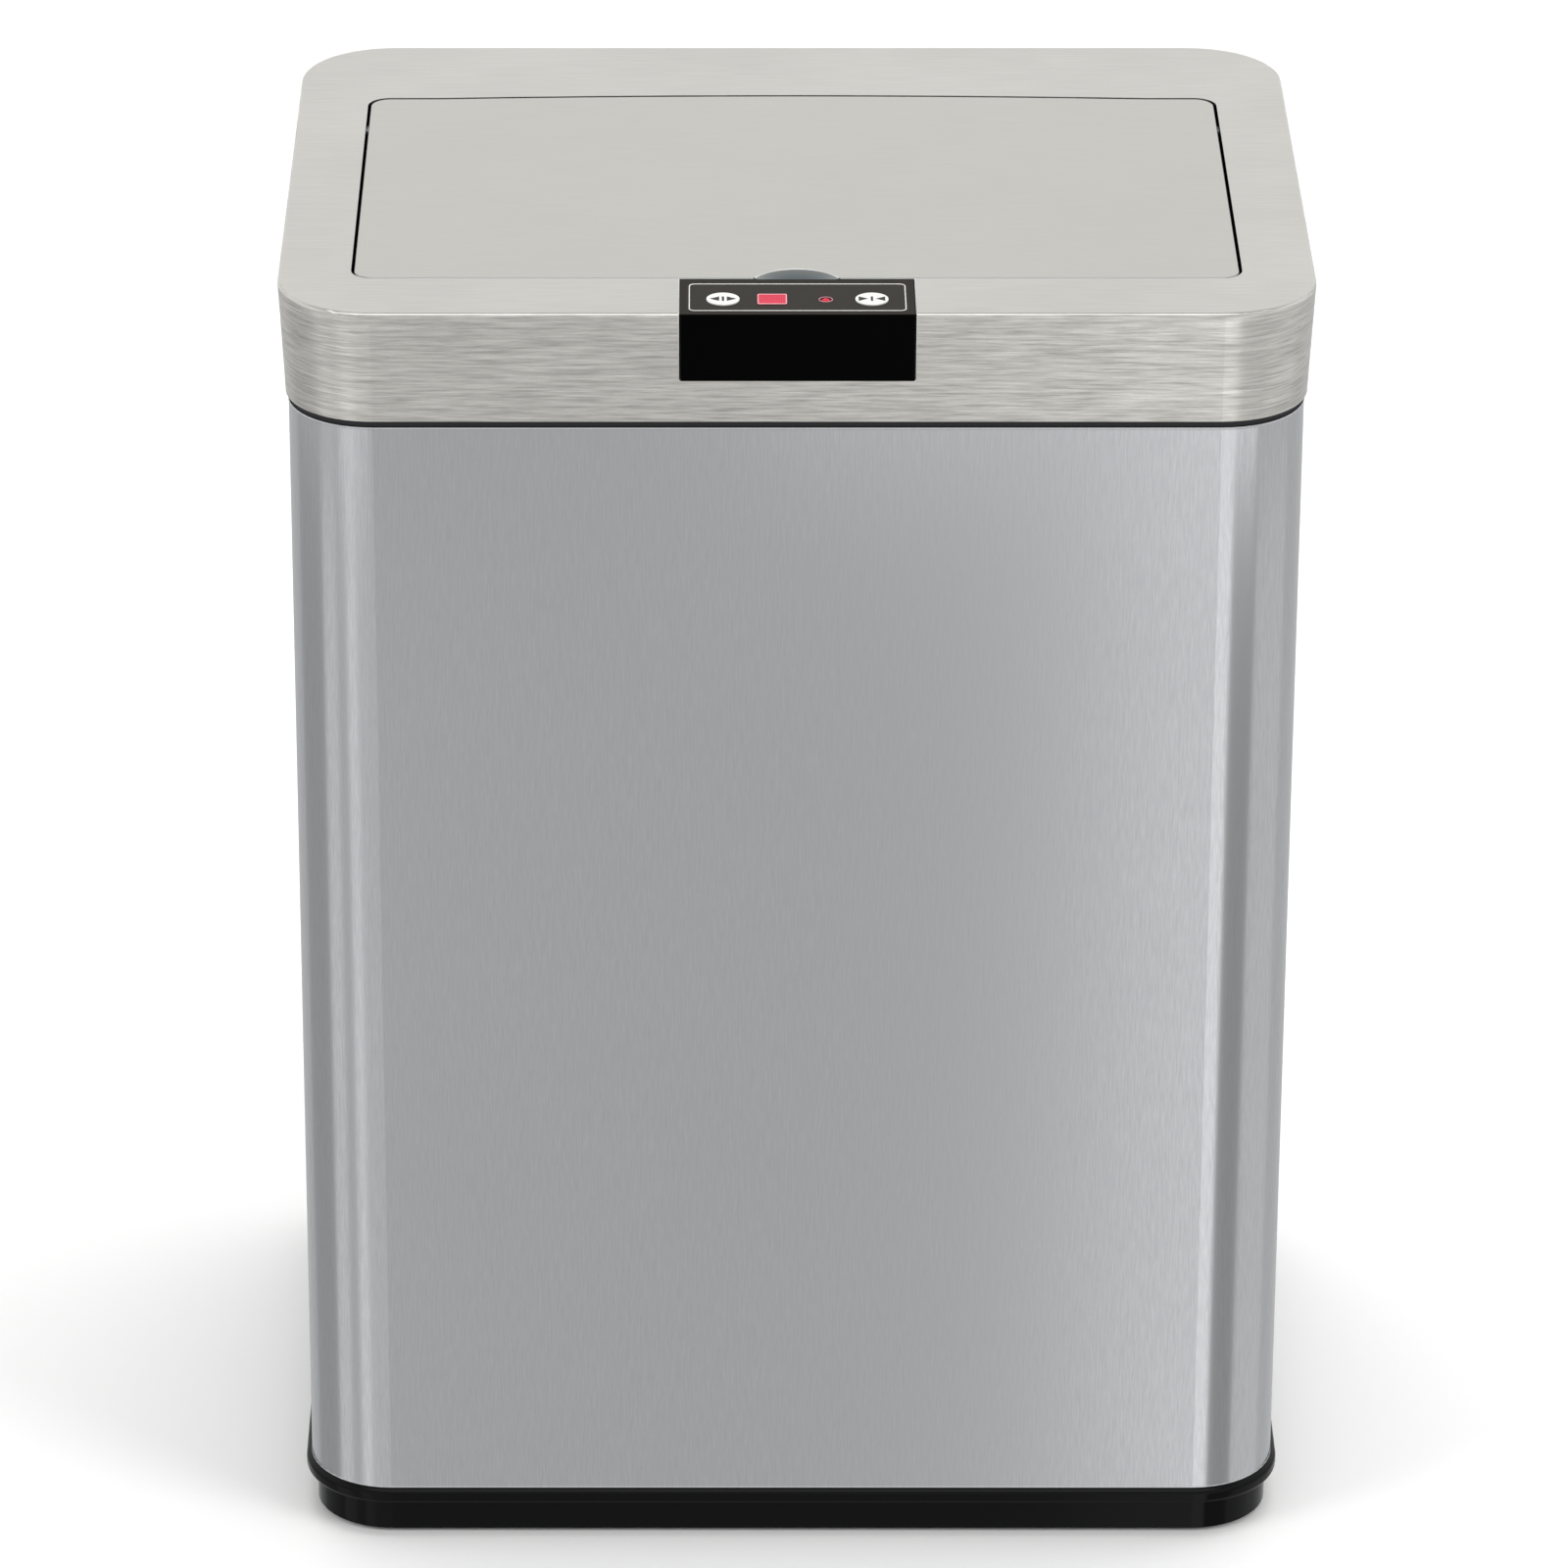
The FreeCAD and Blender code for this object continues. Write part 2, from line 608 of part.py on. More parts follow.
def head_base():
    """Plate that closes the head from below, with a rib that drops inside the collar."""
    body = new_body("head_base")
    rib_out = collar_in + 2 * s.ring_play
    pad(body, "XY", head_low, plate_top, around(plate_out), throat(NONE))
    pad(body, "XY", head_low - s.rib_depth, head_low, around(rib_out), around(rib_out + s.rib_wall))
    pocket(body, "XY", head_low, plate_top,
           *[circle(x, y, s.fixing_screw + s.pin_fix) for x, y in post_places()])
    finished(body, "head_base")


def frame_trim():
    """Screws that hold the plate to the frame's posts, and the rubber pads that the lid lands on."""
    screws = [screw((x, y, head_low), "Z", s.fixing_head, s.fixing_head_height, s.fixing_screw,
                    s.plate_thick + s.fixing_reach) for x, y in post_places()]
    finished(group(*screws, name="frame_screws"), "frame_screws")
    y = s.landing_reach / 2 - throat_front + s.frame_wall / 2
    pads = [rod(s.bumper_radius, s.bumper_height, (side * s.landing_x, y, landing_top)) for side in (-1, 1)]
    finished(group(*pads, name="lid_bumpers"), "lid_bumpers")


# ---- sensor module ----

module_front = -half_depth - s.sensor_proud
module_low = top - s.sensor_front_height
ceiling = top - s.sensor_top
board_top = top - s.board_drop
label_half = s.sensor_half - s.label_side
label_front = half_depth - s.label_inset
label_back = deep_back - s.body_gap


def control_holes(play):
    """Outlines of the two buttons, the window and the light."""
    half_window = s.window_width / 2 + play
    half_tall = s.window_height / 2 + play
    return [circle(-s.button_x, -controls_y, s.button_radius + play),
            circle(s.button_x, -controls_y, s.button_radius + play),
            circle(s.led_x, -controls_y, s.led_radius + play),
            rectangle(-s.window_x - half_window, half_window - s.window_x,
                      -controls_y - half_tall, half_tall - controls_y)]


def sensor_housing():
    """Gloss black cap over the front edge, open at the back."""
    body = new_body("sensor_housing")
    pad(body, "XY", module_low, ceiling, rectangle(-s.sensor_half, s.sensor_half, module_front, -deep_back))
    pad(body, "XY", ceiling, top, rectangle(-s.sensor_half, s.sensor_half, module_front, -sensor_back))

    def outside_edge(box):
        upright = box.ZLength > 1 and box.YMax < worth(module_front) + 1
        return upright or (flat_at(top)(box) and box.YMax < worth(module_front) + 1)
    fillet(body, s.sensor_round, outside_edge)
    inner = s.sensor_half - s.sensor_wall
    pocket(body, "XZ", module_front + s.sensor_wall, -deep_back + s.sensor_wall,
           rectangle(-inner, inner, module_low + s.sensor_wall, ceiling))
    pocket(body, "XY", top - s.label_thick, top + s.label_thick, label_outline())
    pocket(body, "XY", ceiling - s.sensor_wall, top + s.label_thick, *control_holes(s.button_play))
    for side in (-1, 1):
        middle = side * s.sensor_half / 2
        pad(body, "XY", module_low + s.sensor_wall, board_top - s.board_thick,
            rectangle(middle - s.pillar_radius, middle + s.pillar_radius,
                      module_front + s.sensor_wall, -deep_back - s.sensor_wall))
    pocket(body, "XY", module_low, module_low + s.fixing_reach, *shelf_screw_holes())
    finished(body, "sensor_housing")


def label_outline():
    return rounded(-label_half, label_half, -label_front, -label_back, s.label_corner)


def control_label():
    """Dark face film round the buttons, the window and the light."""
    body = new_body("control_label")
    pad(body, "XY", top - s.label_thick, top, label_outline(), *control_holes(s.button_play))
    finished(body, "control_label")


def buttons():
    """Two sprung buttons, each with a collar under the cap and a stem over its switch."""
    for side, label in ((-1, "open_button"), (1, "close_button")):
        x = side * s.button_x
        collar_high = ceiling - s.body_gap
        collar_low = collar_high - s.collar_height
        stem_low = board_top + s.switch_height + s.button_travel + s.body_gap
        cap = rod(s.button_radius, top + s.button_proud - collar_high, (x, -controls_y, collar_high))
        collar = rod(s.button_collar, s.collar_height, (x, -controls_y, collar_low))
        stem = rod(s.stem_radius, collar_low - stem_low, (x, -controls_y, stem_low))
        finished(fuse(cap, collar, stem, name=label), label)


def electronics():
    """Board under the cap, with its switches, infrared pair, window and light."""
    edge = s.sensor_half - s.sensor_wall - s.body_gap
    board = block((-edge, module_front + s.sensor_wall + s.body_gap, board_top - s.board_thick),
                  (edge, -deep_back - s.body_gap, board_top), name="control_board")
    finished(board, "control_board")
    half = s.switch_size / 2
    switches = []
    for x in (-s.button_x, s.button_x):
        switches.append(block((x - half, -controls_y - half, board_top),
                              (x + half, half - controls_y, board_top + s.switch_height)))
    finished(group(*switches, name="tact_switches"), "tact_switches")
    lamp = s.led_radius / 2
    lens_low = ceiling - s.sensor_wall
    eyes = [rod(lamp, lens_low - board_top - s.body_gap,
                (-s.window_x + side * s.led_radius, -controls_y, board_top)) for side in (-1, 1)]
    finished(group(*eyes, name="infrared_pair"), "infrared_pair")
    across = s.window_width / 2
    tall = s.window_height / 2
    window = block((-s.window_x - across, -controls_y - tall, lens_low),
                   (across - s.window_x, tall - controls_y, top + s.button_proud / 2), name="sensor_window")
    finished(window, "sensor_window")
    light_top = top + s.button_proud - s.led_radius
    light = fuse(rod(s.led_radius, light_top - board_top, (s.led_x, -controls_y, board_top)),
                 ball(s.led_radius, (s.led_x, -controls_y, light_top)), name="status_light")
    finished(light, "status_light")
    reach = s.shelf_thick + s.sensor_gap + s.fixing_reach
    floor = module_low - s.sensor_gap - s.shelf_thick
    screws = [screw((side * s.sensor_half / 2, -controls_y, floor), "Z", s.fixing_head, s.fixing_head_height,
                    s.fixing_screw, reach) for side in (-1, 1)]
    finished(group(*screws, name="sensor_screws"), "sensor_screws")


# ---- the lid ----

def lid_outline_pad(body, low, high, inset):
    """The lid's outline, with its bowed back edge, moved in all round."""
    pad(body, "XY", low, high, rounded(inset - lid_half, lid_half - inset, inset - lid_front,
                                       lid_back - inset, s.lid_corner - inset))
    pad(body, "XY", low, high, bow(lid_half - s.lid_corner, lid_back - s.lid_sheet - inset,
                                   s.lid_bow + s.lid_sheet))


def thumb_ball(radius):
    """Ball whose dip at the lid's top is the thumb notch's outline."""
    half = s.thumb_width.value / 2
    rim = (half ** 2 + s.thumb_depth.value ** 2) / (2 * s.thumb_depth.value)
    width, depth = s.thumb_width.formula, s.thumb_depth.formula
    formula = f"((({width} / 2)^2 + {depth}^2) / (2 * {depth}))"
    rim_size = Size(rim, formula)
    lift = Size(math.sqrt(s.thumb_ball.value ** 2 - rim ** 2),
                f"sqrt({s.thumb_ball.formula}^2 - {formula}^2)")
    return ball(radius, (0, s.thumb_depth - lid_front - rim_size, top + lift))


def lid_skin():
    """Steel lid panel with folded edges and a pressed thumb notch in the front."""
    body = new_body("lid_sheet_body")
    lid_outline_pad(body, top - s.lid_fold, top, NONE)
    fillet(body, s.lid_edge, flat_at(top))
    hollow = new_body("lid_hollow")
    lid_outline_pad(hollow, top - s.lid_fold - s.lid_sheet, top - s.lid_sheet, s.lid_sheet)
    pressed = cut(body, hollow, thumb_ball(s.thumb_ball))
    slab = new_body("lid_reach")
    lid_outline_pad(slab, top - s.liner_low, top - s.lid_edge, NONE)
    dish = common(cut(thumb_ball(s.thumb_ball + s.lid_sheet), thumb_ball(s.thumb_ball)), slab)
    finished(fuse(pressed, dish, name="lid_skin"), "lid_skin")


def lid_liner():
    """Moulded underside of the lid, with an ear at each end for the pivot pin; its front wall is
    a rail on each side of the thumb notch."""
    body = new_body("liner_body")
    inset = s.lid_sheet + s.liner_play
    low = top - s.liner_low
    high = top - s.lid_sheet
    lid_outline_pad(body, low, high, inset)
    wall = inset + s.liner_wall
    pocket(body, "XY", low + s.liner_wall, high, rounded(
        wall - lid_half, lid_half - wall, wall - lid_front, lid_back - wall, s.lid_corner / 2))
    doc.recompute()
    ears = []
    for side in (-1, 1):
        far = lid_half - inset
        start = far - s.ear_width if side > 0 else -far
        ears.append(rod(s.ear_radius, s.ear_width, (start, pivot_y, pivot_z), "X"))
    slab = block((-lid_half, pivot_y - s.ear_radius, pivot_z - s.ear_radius),
                 (lid_half, pivot_y + s.ear_radius, high - s.liner_wall))
    kept_ears = common(group(*ears), slab)
    bore = rod(s.pin_radius + s.pin_fix, 2 * lid_half, (-lid_half, pivot_y, pivot_z), "X")
    relief = thumb_ball(s.thumb_ball + s.lid_sheet + s.liner_play)
    rail_end = lid_half - wall - s.lid_corner / 2
    front_wall = block((-rail_end, -lid_front - s.lid_bow, low + s.liner_wall),
                       (rail_end, wall - lid_front, high))
    clear = s.thumb_width / 2 + s.lid_sheet + s.liner_play
    thumb_gap = block((-clear, -lid_front - s.lid_bow, low + s.liner_wall), (clear, wall - lid_front, high))
    rails = cut(common(body, front_wall), thumb_gap, name="front_rails")
    finished(cut(fuse(body, kept_ears), bore, relief, front_wall, name="lid_liner"), "lid_liner")
    finished(rails, "front_rails")


def lid_pins():
    """Steel pivot pins; the right one reaches on through the sector."""
    start = lid_half - s.lid_sheet - s.liner_play - s.ear_width
    left_end = case_in + s.pin_reach
    right_end = layer[1] - s.layer_gap
    left = rod(s.pin_radius, left_end - start, (-left_end, pivot_y, pivot_z), "X")
    right = rod(s.pin_radius, right_end - start, (start, pivot_y, pivot_z), "X")
    finished(group(left, right, name="lid_pins"), "lid_pins")


# ---- the drive ----

def tooth_outline(teeth, module, first_angle):
    """Closed involute outline in the YZ plane; a tooth's middle points at the first angle."""
    count = int(teeth.value)
    pitch = module.value * count / 2
    slope = math.radians(s.pressure_angle.value)
    base = pitch * math.cos(slope)
    root = pitch - 1.15 * module.value
    tip = pitch + 0.9 * module.value
    half_pitch = math.pi / (2 * count) - s.tooth_thinning.value / (2 * pitch)
    wide = half_pitch + math.tan(slope) - slope
    start = max(base, root)
    flank = [(root, wide)] if root < base else []
    for step in range(5):
        radius = start + (tip - start) * step / 4
        bend = math.acos(min(1.0, base / radius))
        flank.append((radius, wide - math.tan(bend) + bend))
    points = []
    for tooth in range(count):
        middle = first_angle + 2 * math.pi * tooth / count
        points += [(radius, middle - half) for radius, half in flank]
        points += [(radius, middle + half) for radius, half in reversed(flank)]
    corners = [FreeCAD.Vector(0, radius * math.cos(angle), radius * math.sin(angle))
               for radius, angle in points]
    return Part.Face(Part.makePolygon(corners + corners[:1]))


def toothed(teeth, module, first_angle, near):
    """One toothed ring as a solid, its axis along X."""
    solid = tooth_outline(teeth, module, first_angle).extrude(FreeCAD.Vector(s.gear_face.value, 0, 0))
    solid.translate(FreeCAD.Vector(near.value, 0, 0))
    return solid


def disc(radius, near, far):
    return Part.makeCylinder(worth(radius), worth(far) - worth(near), FreeCAD.Vector(worth(near), 0, 0),
                             FreeCAD.Vector(1, 0, 0))


def gear_piece(label, shape, y, z):
    item = doc.addObject("Part::Feature", label)
    item.Shape = shape
    item.Placement = FreeCAD.Placement(FreeCAD.Vector(0, y.value, z.value), FreeCAD.Rotation())
    finished(item, label)


GAP_UP, TOOTH_DOWN, TOOTH_BACK = math.pi / 2, -math.pi / 2, 0.0


def half_tooth(teeth):
    return math.pi / teeth.value


def drive_gears():
    """Sector on the lid's pin, two stepped gears and the motor's pinion, in three layers."""
    sector = toothed(s.sector_teeth, s.sector_module, TOOTH_DOWN, layer[0])
    reach = 2 * s.sector_module.value * s.sector_teeth.value
    first = -90 - s.sector_margin.value
    sweep = s.lid_swing.value + 2 * s.sector_margin.value
    angles = [math.radians(first + sweep * step / 5) for step in range(6)]
    fan = [FreeCAD.Vector(layer[0].value, 0, 0)]
    fan += [FreeCAD.Vector(layer[0].value, reach * math.cos(a), reach * math.sin(a)) for a in angles]
    wedge = Part.Face(Part.makePolygon(fan + fan[:1])).extrude(FreeCAD.Vector(s.gear_face.value, 0, 0))
    hub = disc(s.hub_radius, layer[0], layer[1] - s.layer_gap)
    bore = disc(s.pin_radius + s.pin_fix, layer[0] - 1, layer[3])
    gear_piece("sector_gear", sector.common(wedge).fuse(hub).cut(bore).removeSplitter(), pivot_y, pivot_z)

    running = disc(s.axle_radius + s.pin_play, layer[0] - 1, layer[3] + 1)
    pinion = toothed(s.pinion_teeth, s.sector_module, GAP_UP + half_tooth(s.pinion_teeth), layer[0])
    wheel = toothed(s.middle_teeth, s.middle_module, TOOTH_BACK, layer[1])
    spacer = disc(s.axle_radius * 2, layer[1] - s.layer_gap, layer[1])
    gear_piece("first_gear", pinion.fuse([wheel, spacer]).cut(running), pivot_y, gear_one_z)

    pinion = toothed(s.pinion_teeth, s.middle_module, math.pi + half_tooth(s.pinion_teeth), layer[1])
    wheel = toothed(s.last_teeth, s.last_module, TOOTH_BACK, layer[2])
    spacer = disc(s.axle_radius * 2, layer[2] - s.layer_gap, layer[2])
    gear_piece("second_gear", pinion.fuse([wheel, spacer]).cut(running), gear_two_y, gear_one_z)

    pinion = toothed(s.pinion_teeth, s.last_module, math.pi + half_tooth(s.pinion_teeth), layer[2])
    shaft = disc(s.motor_shaft, layer[2] - s.motor_nose, layer[3] - s.layer_gap)
    gear_piece("motor_pinion", pinion.fuse(shaft).removeSplitter(), motor_y, gear_one_z)


def gearbox():
    """Case plates either side of the gears, their axles, and the motor behind the throat."""
    low = plate_top
    front = pivot_y - s.middle_module * s.middle_teeth / 2 - 2 * s.post_radius
    back = motor_y + s.motor_radius + s.frame_wall
    high = gear_one_z + s.hub_radius * 2
    far = layer[3] + s.body_gap
    inner_low = case_in + s.body_gap
    plate_near = layer[2] - s.layer_gap - s.case_wall
    inner_plate = block((inner_low, front, low),
                        (inner_low + s.case_wall, throat_back - s.throat_corner, high))
    motor_plate = block((plate_near, motor_y - s.motor_radius + s.body_gap, low),
                        (plate_near + s.case_wall, back, high))
    floor = block((inner_low, front, low), (far, back, low + s.case_wall))
    corner_gap = block((NONE, throat_back - s.throat_corner, low),
                       (inner_low + s.frame_wall, throat_back + 2 * s.frame_wall, low + s.case_wall))
    pins = [rod(s.axle_radius, far - case_in, (case_in, y, z), "X") for y, z in axles]
    pillar_z = high - s.pillar_radius
    front_pillar = (inner_low, front + s.pillar_radius + s.wall_play, pillar_z)
    back_pillar = (plate_near, back - s.pillar_radius - s.wall_play, pillar_z)
    pillars = [rod(s.pillar_radius, far - at[0], at, "X") for at in (front_pillar, back_pillar)]
    threads = [rod(s.fixing_screw, far - plate_near, (plate_near, at[1], at[2]), "X")
               for at in (front_pillar, back_pillar)]
    nose = rod(s.motor_nose, far - case_in, (case_in, motor_y, gear_one_z), "X")
    walls = fuse(inner_plate, motor_plate, floor, *pillars)
    finished(cut(walls, nose, corner_gap, *pins, *threads, name="gearbox_case"), "gearbox_case")
    pin_holes = [rod(s.axle_radius, s.case_wall, (far, y, z), "X") for y, z in axles]
    pin_holes += [rod(s.fixing_screw, s.case_wall, (far, at[1], at[2]), "X")
                  for at in (front_pillar, back_pillar)]
    cover = cut(block((far, front, low), (far + s.case_wall, back, high)), *pin_holes, name="gearbox_cover")
    finished(cover, "gearbox_cover")
    screw_ends = [rod(s.fixing_screw, far + s.case_wall - plate_near, (plate_near, at[1], at[2]), "X")
                  for at in (front_pillar, back_pillar)]
    screw_heads = [rod(s.fixing_head, s.case_wall, (far + s.case_wall, at[1], at[2]), "X")
                   for at in (front_pillar, back_pillar)]
    screws = [fuse(end, head) for end, head in zip(screw_ends, screw_heads)]
    finished(group(*screws, name="gearbox_screws"), "gearbox_screws")
    axle_rods = [rod(s.axle_radius, far + s.case_wall - inner_low, (inner_low, y, z), "X") for y, z in axles]
    finished(group(*axle_rods, name="gear_axles"), "gear_axles")
    can = rod(s.motor_radius, s.motor_length, (plate_near - s.motor_length, motor_y, gear_one_z), "X")
    nose_boss = rod(s.motor_nose, s.case_wall, (plate_near, motor_y, gear_one_z), "X")
    shaft_bore = rod(s.motor_shaft + s.pin_play, s.motor_nose + s.pin_play,
                     (layer[2] - s.motor_nose - s.pin_play, motor_y, gear_one_z), "X")
    finished(cut(fuse(can, nose_boss), shaft_bore, name="drive_motor"), "drive_motor")


# ---- batteries, door, jack and switch ----

box_front = throat_back + s.frame_wall + s.box_clear
box_back = half_depth - frame_out - s.frame_wall - s.box_clear
box_low_z = head_low + s.box_low
box_high_z = box_low_z + 2 * (s.cell_radius + s.cell_gap + s.box_wall)
cell_y = box_front + s.box_wall + s.cell_gap + s.cell_radius
cell_z = box_low_z + s.box_wall + s.cell_gap + s.cell_radius
door_face = half_depth + s.sensor_proud
hinge_y = door_face - s.barrel_radius
hinge_z = door_high_z - s.barrel_radius


def battery_box():
    """Open tray for four cells in a row, with a hanger rod for the door."""
    body = new_body("battery_box")
    pad(body, "XY", box_low_z, box_high_z, rectangle(-box_half, box_half, box_front, box_back))
    inner = box_half - s.box_wall
    pocket(body, "XZ", box_front + s.box_wall, box_back,
           rectangle(-inner, inner, box_low_z + s.box_wall, box_high_z - s.box_wall))
    for side in (-1, 1):
        near, far = box_half - s.arm_width, box_half
        low, high = (near, far) if side > 0 else (-far, -near)
        pad(body, "YZ", low, high, rectangle(box_back - s.box_wall, door_face - s.sensor_proud,
                                             hinge_z - s.barrel_radius, hinge_z + s.barrel_radius))
    pocket(body, "YZ", -box_half, box_half, circle(hinge_y, hinge_z, s.door_pin + s.pin_fix))
    finished(body, "battery_box")
    cells = []
    for index in range(int(s.cell_count.value)):
        start = index * s.cell_length - cells_half
        nub = s.cell_gap * 4
        shell = rod(s.cell_radius, s.cell_length - nub, (start, cell_y, cell_z), "X")
        cap = rod(s.cell_radius / 4, nub, (start + s.cell_length - nub, cell_y, cell_z), "X")
        cells.append(fuse(shell, cap))
    finished(group(*cells, name="battery_cells"), "battery_cells")
    half = s.cell_radius / 2
    contacts = []
    for side in (-1, 1):
        near = cells_half if side > 0 else -inner
        far = inner if side > 0 else -cells_half
        contacts.append(block((near, cell_y - half, cell_z - half), (far, cell_y + half, cell_z + half)))
    finished(group(*contacts, name="battery_contacts"), "battery_contacts")


def battery_door():
    """Back door that hangs from a rod along its top edge."""
    panel = block((-door_half, door_face - s.door_thick, door_low_z),
                  (door_half, door_face, hinge_z))
    barrel = rod(s.barrel_radius, 2 * door_half, (-door_half, hinge_y, hinge_z), "X")
    bore = rod(s.door_pin + s.pin_play, 2 * door_half, (-door_half, hinge_y, hinge_z), "X")
    grip_half = 6 * s.barrel_radius
    grip = block((-grip_half, door_face - s.door_thick / 2, door_low_z),
                 (grip_half, door_face, door_low_z + s.barrel_radius))
    finished(cut(fuse(panel, barrel), bore, grip, name="battery_door"), "battery_door")
    hanger = rod(s.door_pin, 2 * box_half, (-box_half, hinge_y, hinge_z), "X", name="door_rod")
    finished(hanger, "door_rod")


def ports():
    """Round power jack on one side of the door, rocker switch on the other."""
    wall_y = half_depth - s.rim_tuck / 2 + s.body_gap
    inner_y = wall_y - s.jack_depth
    barrel = rod(s.jack_radius, s.jack_depth, (port_x, inner_y, port_z()), "Y")
    bore = rod(s.jack_bore, s.jack_depth - s.bezel, (port_x, inner_y + s.bezel, port_z()), "Y")
    pin = rod(s.jack_pin, s.jack_depth - s.bezel, (port_x, inner_y, port_z()), "Y")
    finished(fuse(cut(barrel, bore), pin, name="power_jack"), "power_jack")
    half = s.rocker_half + s.bezel
    tall = s.rocker_height / 2 + s.bezel
    box = block((-port_x - half, inner_y, port_z() - tall), (half - port_x, wall_y, port_z() + tall))
    room_half = s.rocker_half + s.body_gap
    room_tall = s.rocker_height / 2 + s.body_gap
    room = block((-port_x - room_half, inner_y + s.bezel, port_z() - room_tall),
                 (room_half - port_x, wall_y, port_z() + room_tall))
    finished(cut(box, room, name="switch_body"), "switch_body")
    pivot = (-port_x - s.rocker_half, wall_y, port_z())
    round_rocker = rod(s.rocker_height / 2, 2 * s.rocker_half, pivot, "X")
    face = block((-port_x - s.rocker_half, wall_y - s.rocker_height, port_z() - s.rocker_height / 2),
                 (s.rocker_half - port_x, wall_y + s.bezel / 4, port_z() + s.rocker_height / 2))
    finished(common(round_rocker, face, name="power_rocker"), "power_rocker")


for make in (body_shell, base_tray, feet, top_collar, bag_ring, head_cover, head_frame, head_base,
             frame_trim, sensor_housing, control_label, buttons, electronics, lid_skin, lid_liner, lid_pins,
             drive_gears, gearbox, battery_box, battery_door, ports):
    make()
doc.recompute()

for item in doc.Objects:
    if "Invalid" in item.State or "Error" in item.State:
        raise RuntimeError(f"{item.Label} failed: {item.State}")
for item in pieces:
    if item.Shape.isNull() or not item.Shape.isValid() or not item.Shape.Solids:
        raise RuntimeError(f"{item.Label} has no valid solid")
os.makedirs("parts", exist_ok=True)
for item in pieces:
    item.Shape.exportStep(f"parts/{item.Label}.step")
    print(item.Label, len(item.Shape.Solids), round(item.Shape.Volume))
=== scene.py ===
import math

import bmesh
import bpy
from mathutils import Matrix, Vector


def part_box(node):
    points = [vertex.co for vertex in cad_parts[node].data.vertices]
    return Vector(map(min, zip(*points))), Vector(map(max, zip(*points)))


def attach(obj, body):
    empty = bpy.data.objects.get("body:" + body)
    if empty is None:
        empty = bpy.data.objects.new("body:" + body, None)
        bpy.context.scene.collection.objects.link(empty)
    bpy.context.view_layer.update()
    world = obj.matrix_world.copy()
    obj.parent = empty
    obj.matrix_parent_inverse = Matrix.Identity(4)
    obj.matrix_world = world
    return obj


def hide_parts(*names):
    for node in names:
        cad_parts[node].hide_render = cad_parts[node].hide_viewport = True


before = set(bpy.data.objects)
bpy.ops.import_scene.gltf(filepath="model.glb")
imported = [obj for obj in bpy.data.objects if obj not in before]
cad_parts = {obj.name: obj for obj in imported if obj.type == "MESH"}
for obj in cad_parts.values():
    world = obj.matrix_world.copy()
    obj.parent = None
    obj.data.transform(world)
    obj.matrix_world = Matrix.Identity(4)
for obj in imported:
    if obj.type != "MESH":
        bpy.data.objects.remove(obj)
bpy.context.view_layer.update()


# ---- The room ----
# A wide pale floor under soft lights.  Steel shows what stands round it, so curved cards stand
# round the bin as in a light tent; only the shine on the bin sees them.

MM = 0.001
scene = bpy.context.scene


def linear(code):
    """An sRGB hex colour as linear RGBA."""
    parts = [int(code[i:i + 2], 16) / 255 for i in (1, 3, 5)]
    return [*(c / 12.92 if c <= 0.04045 else ((c + 0.055) / 1.055) ** 2.4 for c in parts), 1.0]


def add(tree, kind, sockets=None, **settings):
    """Adds a node with its settings; each socket gets a value or another node's output."""
    made = tree.nodes.new(kind)
    for name, value in settings.items():
        setattr(made, name, value)
    for name, value in (sockets or {}).items():
        if isinstance(value, bpy.types.NodeSocket):
            tree.links.new(value, made.inputs[name])
        else:
            made.inputs[name].default_value = value
    return made


def new_material(name):
    """An empty material, its tree and its output."""
    material = bpy.data.materials.new(name)
    material.use_nodes = True
    tree = material.node_tree
    tree.nodes.clear()
    return material, tree, tree.nodes.new("ShaderNodeOutputMaterial")


def in_scene(name, mesh, smooth=False):
    """Puts a mesh into the scene as an object."""
    mesh.polygons.foreach_set("use_smooth", [smooth] * len(mesh.polygons))
    piece = bpy.data.objects.new(name, mesh)
    scene.collection.objects.link(piece)
    return piece


def mesh_piece(name, vertices, faces, smooth=False):
    """An object with a mesh of the given points and faces."""
    mesh = bpy.data.meshes.new(name)
    mesh.from_pydata(vertices, [], faces)
    return in_scene(name, mesh, smooth)


def studio_paint():
    """Matt white floor paint."""
    material, tree, output = new_material("studio_floor_paint")
    grain = add(tree, "ShaderNodeTexNoise", {"Scale": 40.0, "Detail": 2.0})
    tone = add(tree, "ShaderNodeMapRange", {"Value": grain.outputs[0], "To Min": 0.86, "To Max": 0.88})
    shader = add(tree, "ShaderNodeBsdfPrincipled", {"Base Color": tone.outputs[0], "Roughness": 0.9})
    tree.links.new(shader.outputs[0], output.inputs[0])
    return material


def floor_disc(radius):
    """A round floor, so wide that its edge stays far off."""
    half_sides = 24
    turns = [side * math.pi / half_sides for side in range(2 * half_sides)]
    vertices = [(radius * math.cos(turn), radius * math.sin(turn), 0) for turn in turns]
    floor = mesh_piece("studio_floor", vertices, [tuple(range(len(vertices)))])
    floor.data.materials.append(studio_paint())
    floor.visible_glossy = False


def lit_card(name, vertices, faces, brightness):
    """A glowing card that only the shine on the bin sees."""
    card = mesh_piece(name, vertices, faces, smooth=True)
    material, tree, output = new_material(name)
    glow = add(tree, "ShaderNodeEmission", {"Color": linear("#f7f8f8"), "Strength": brightness})
    tree.links.new(glow.outputs[0], output.inputs[0])
    card.data.materials.append(material)
    card.visible_camera = False
    card.visible_diffuse = False
    card.visible_shadow = False
    card.visible_transmission = False


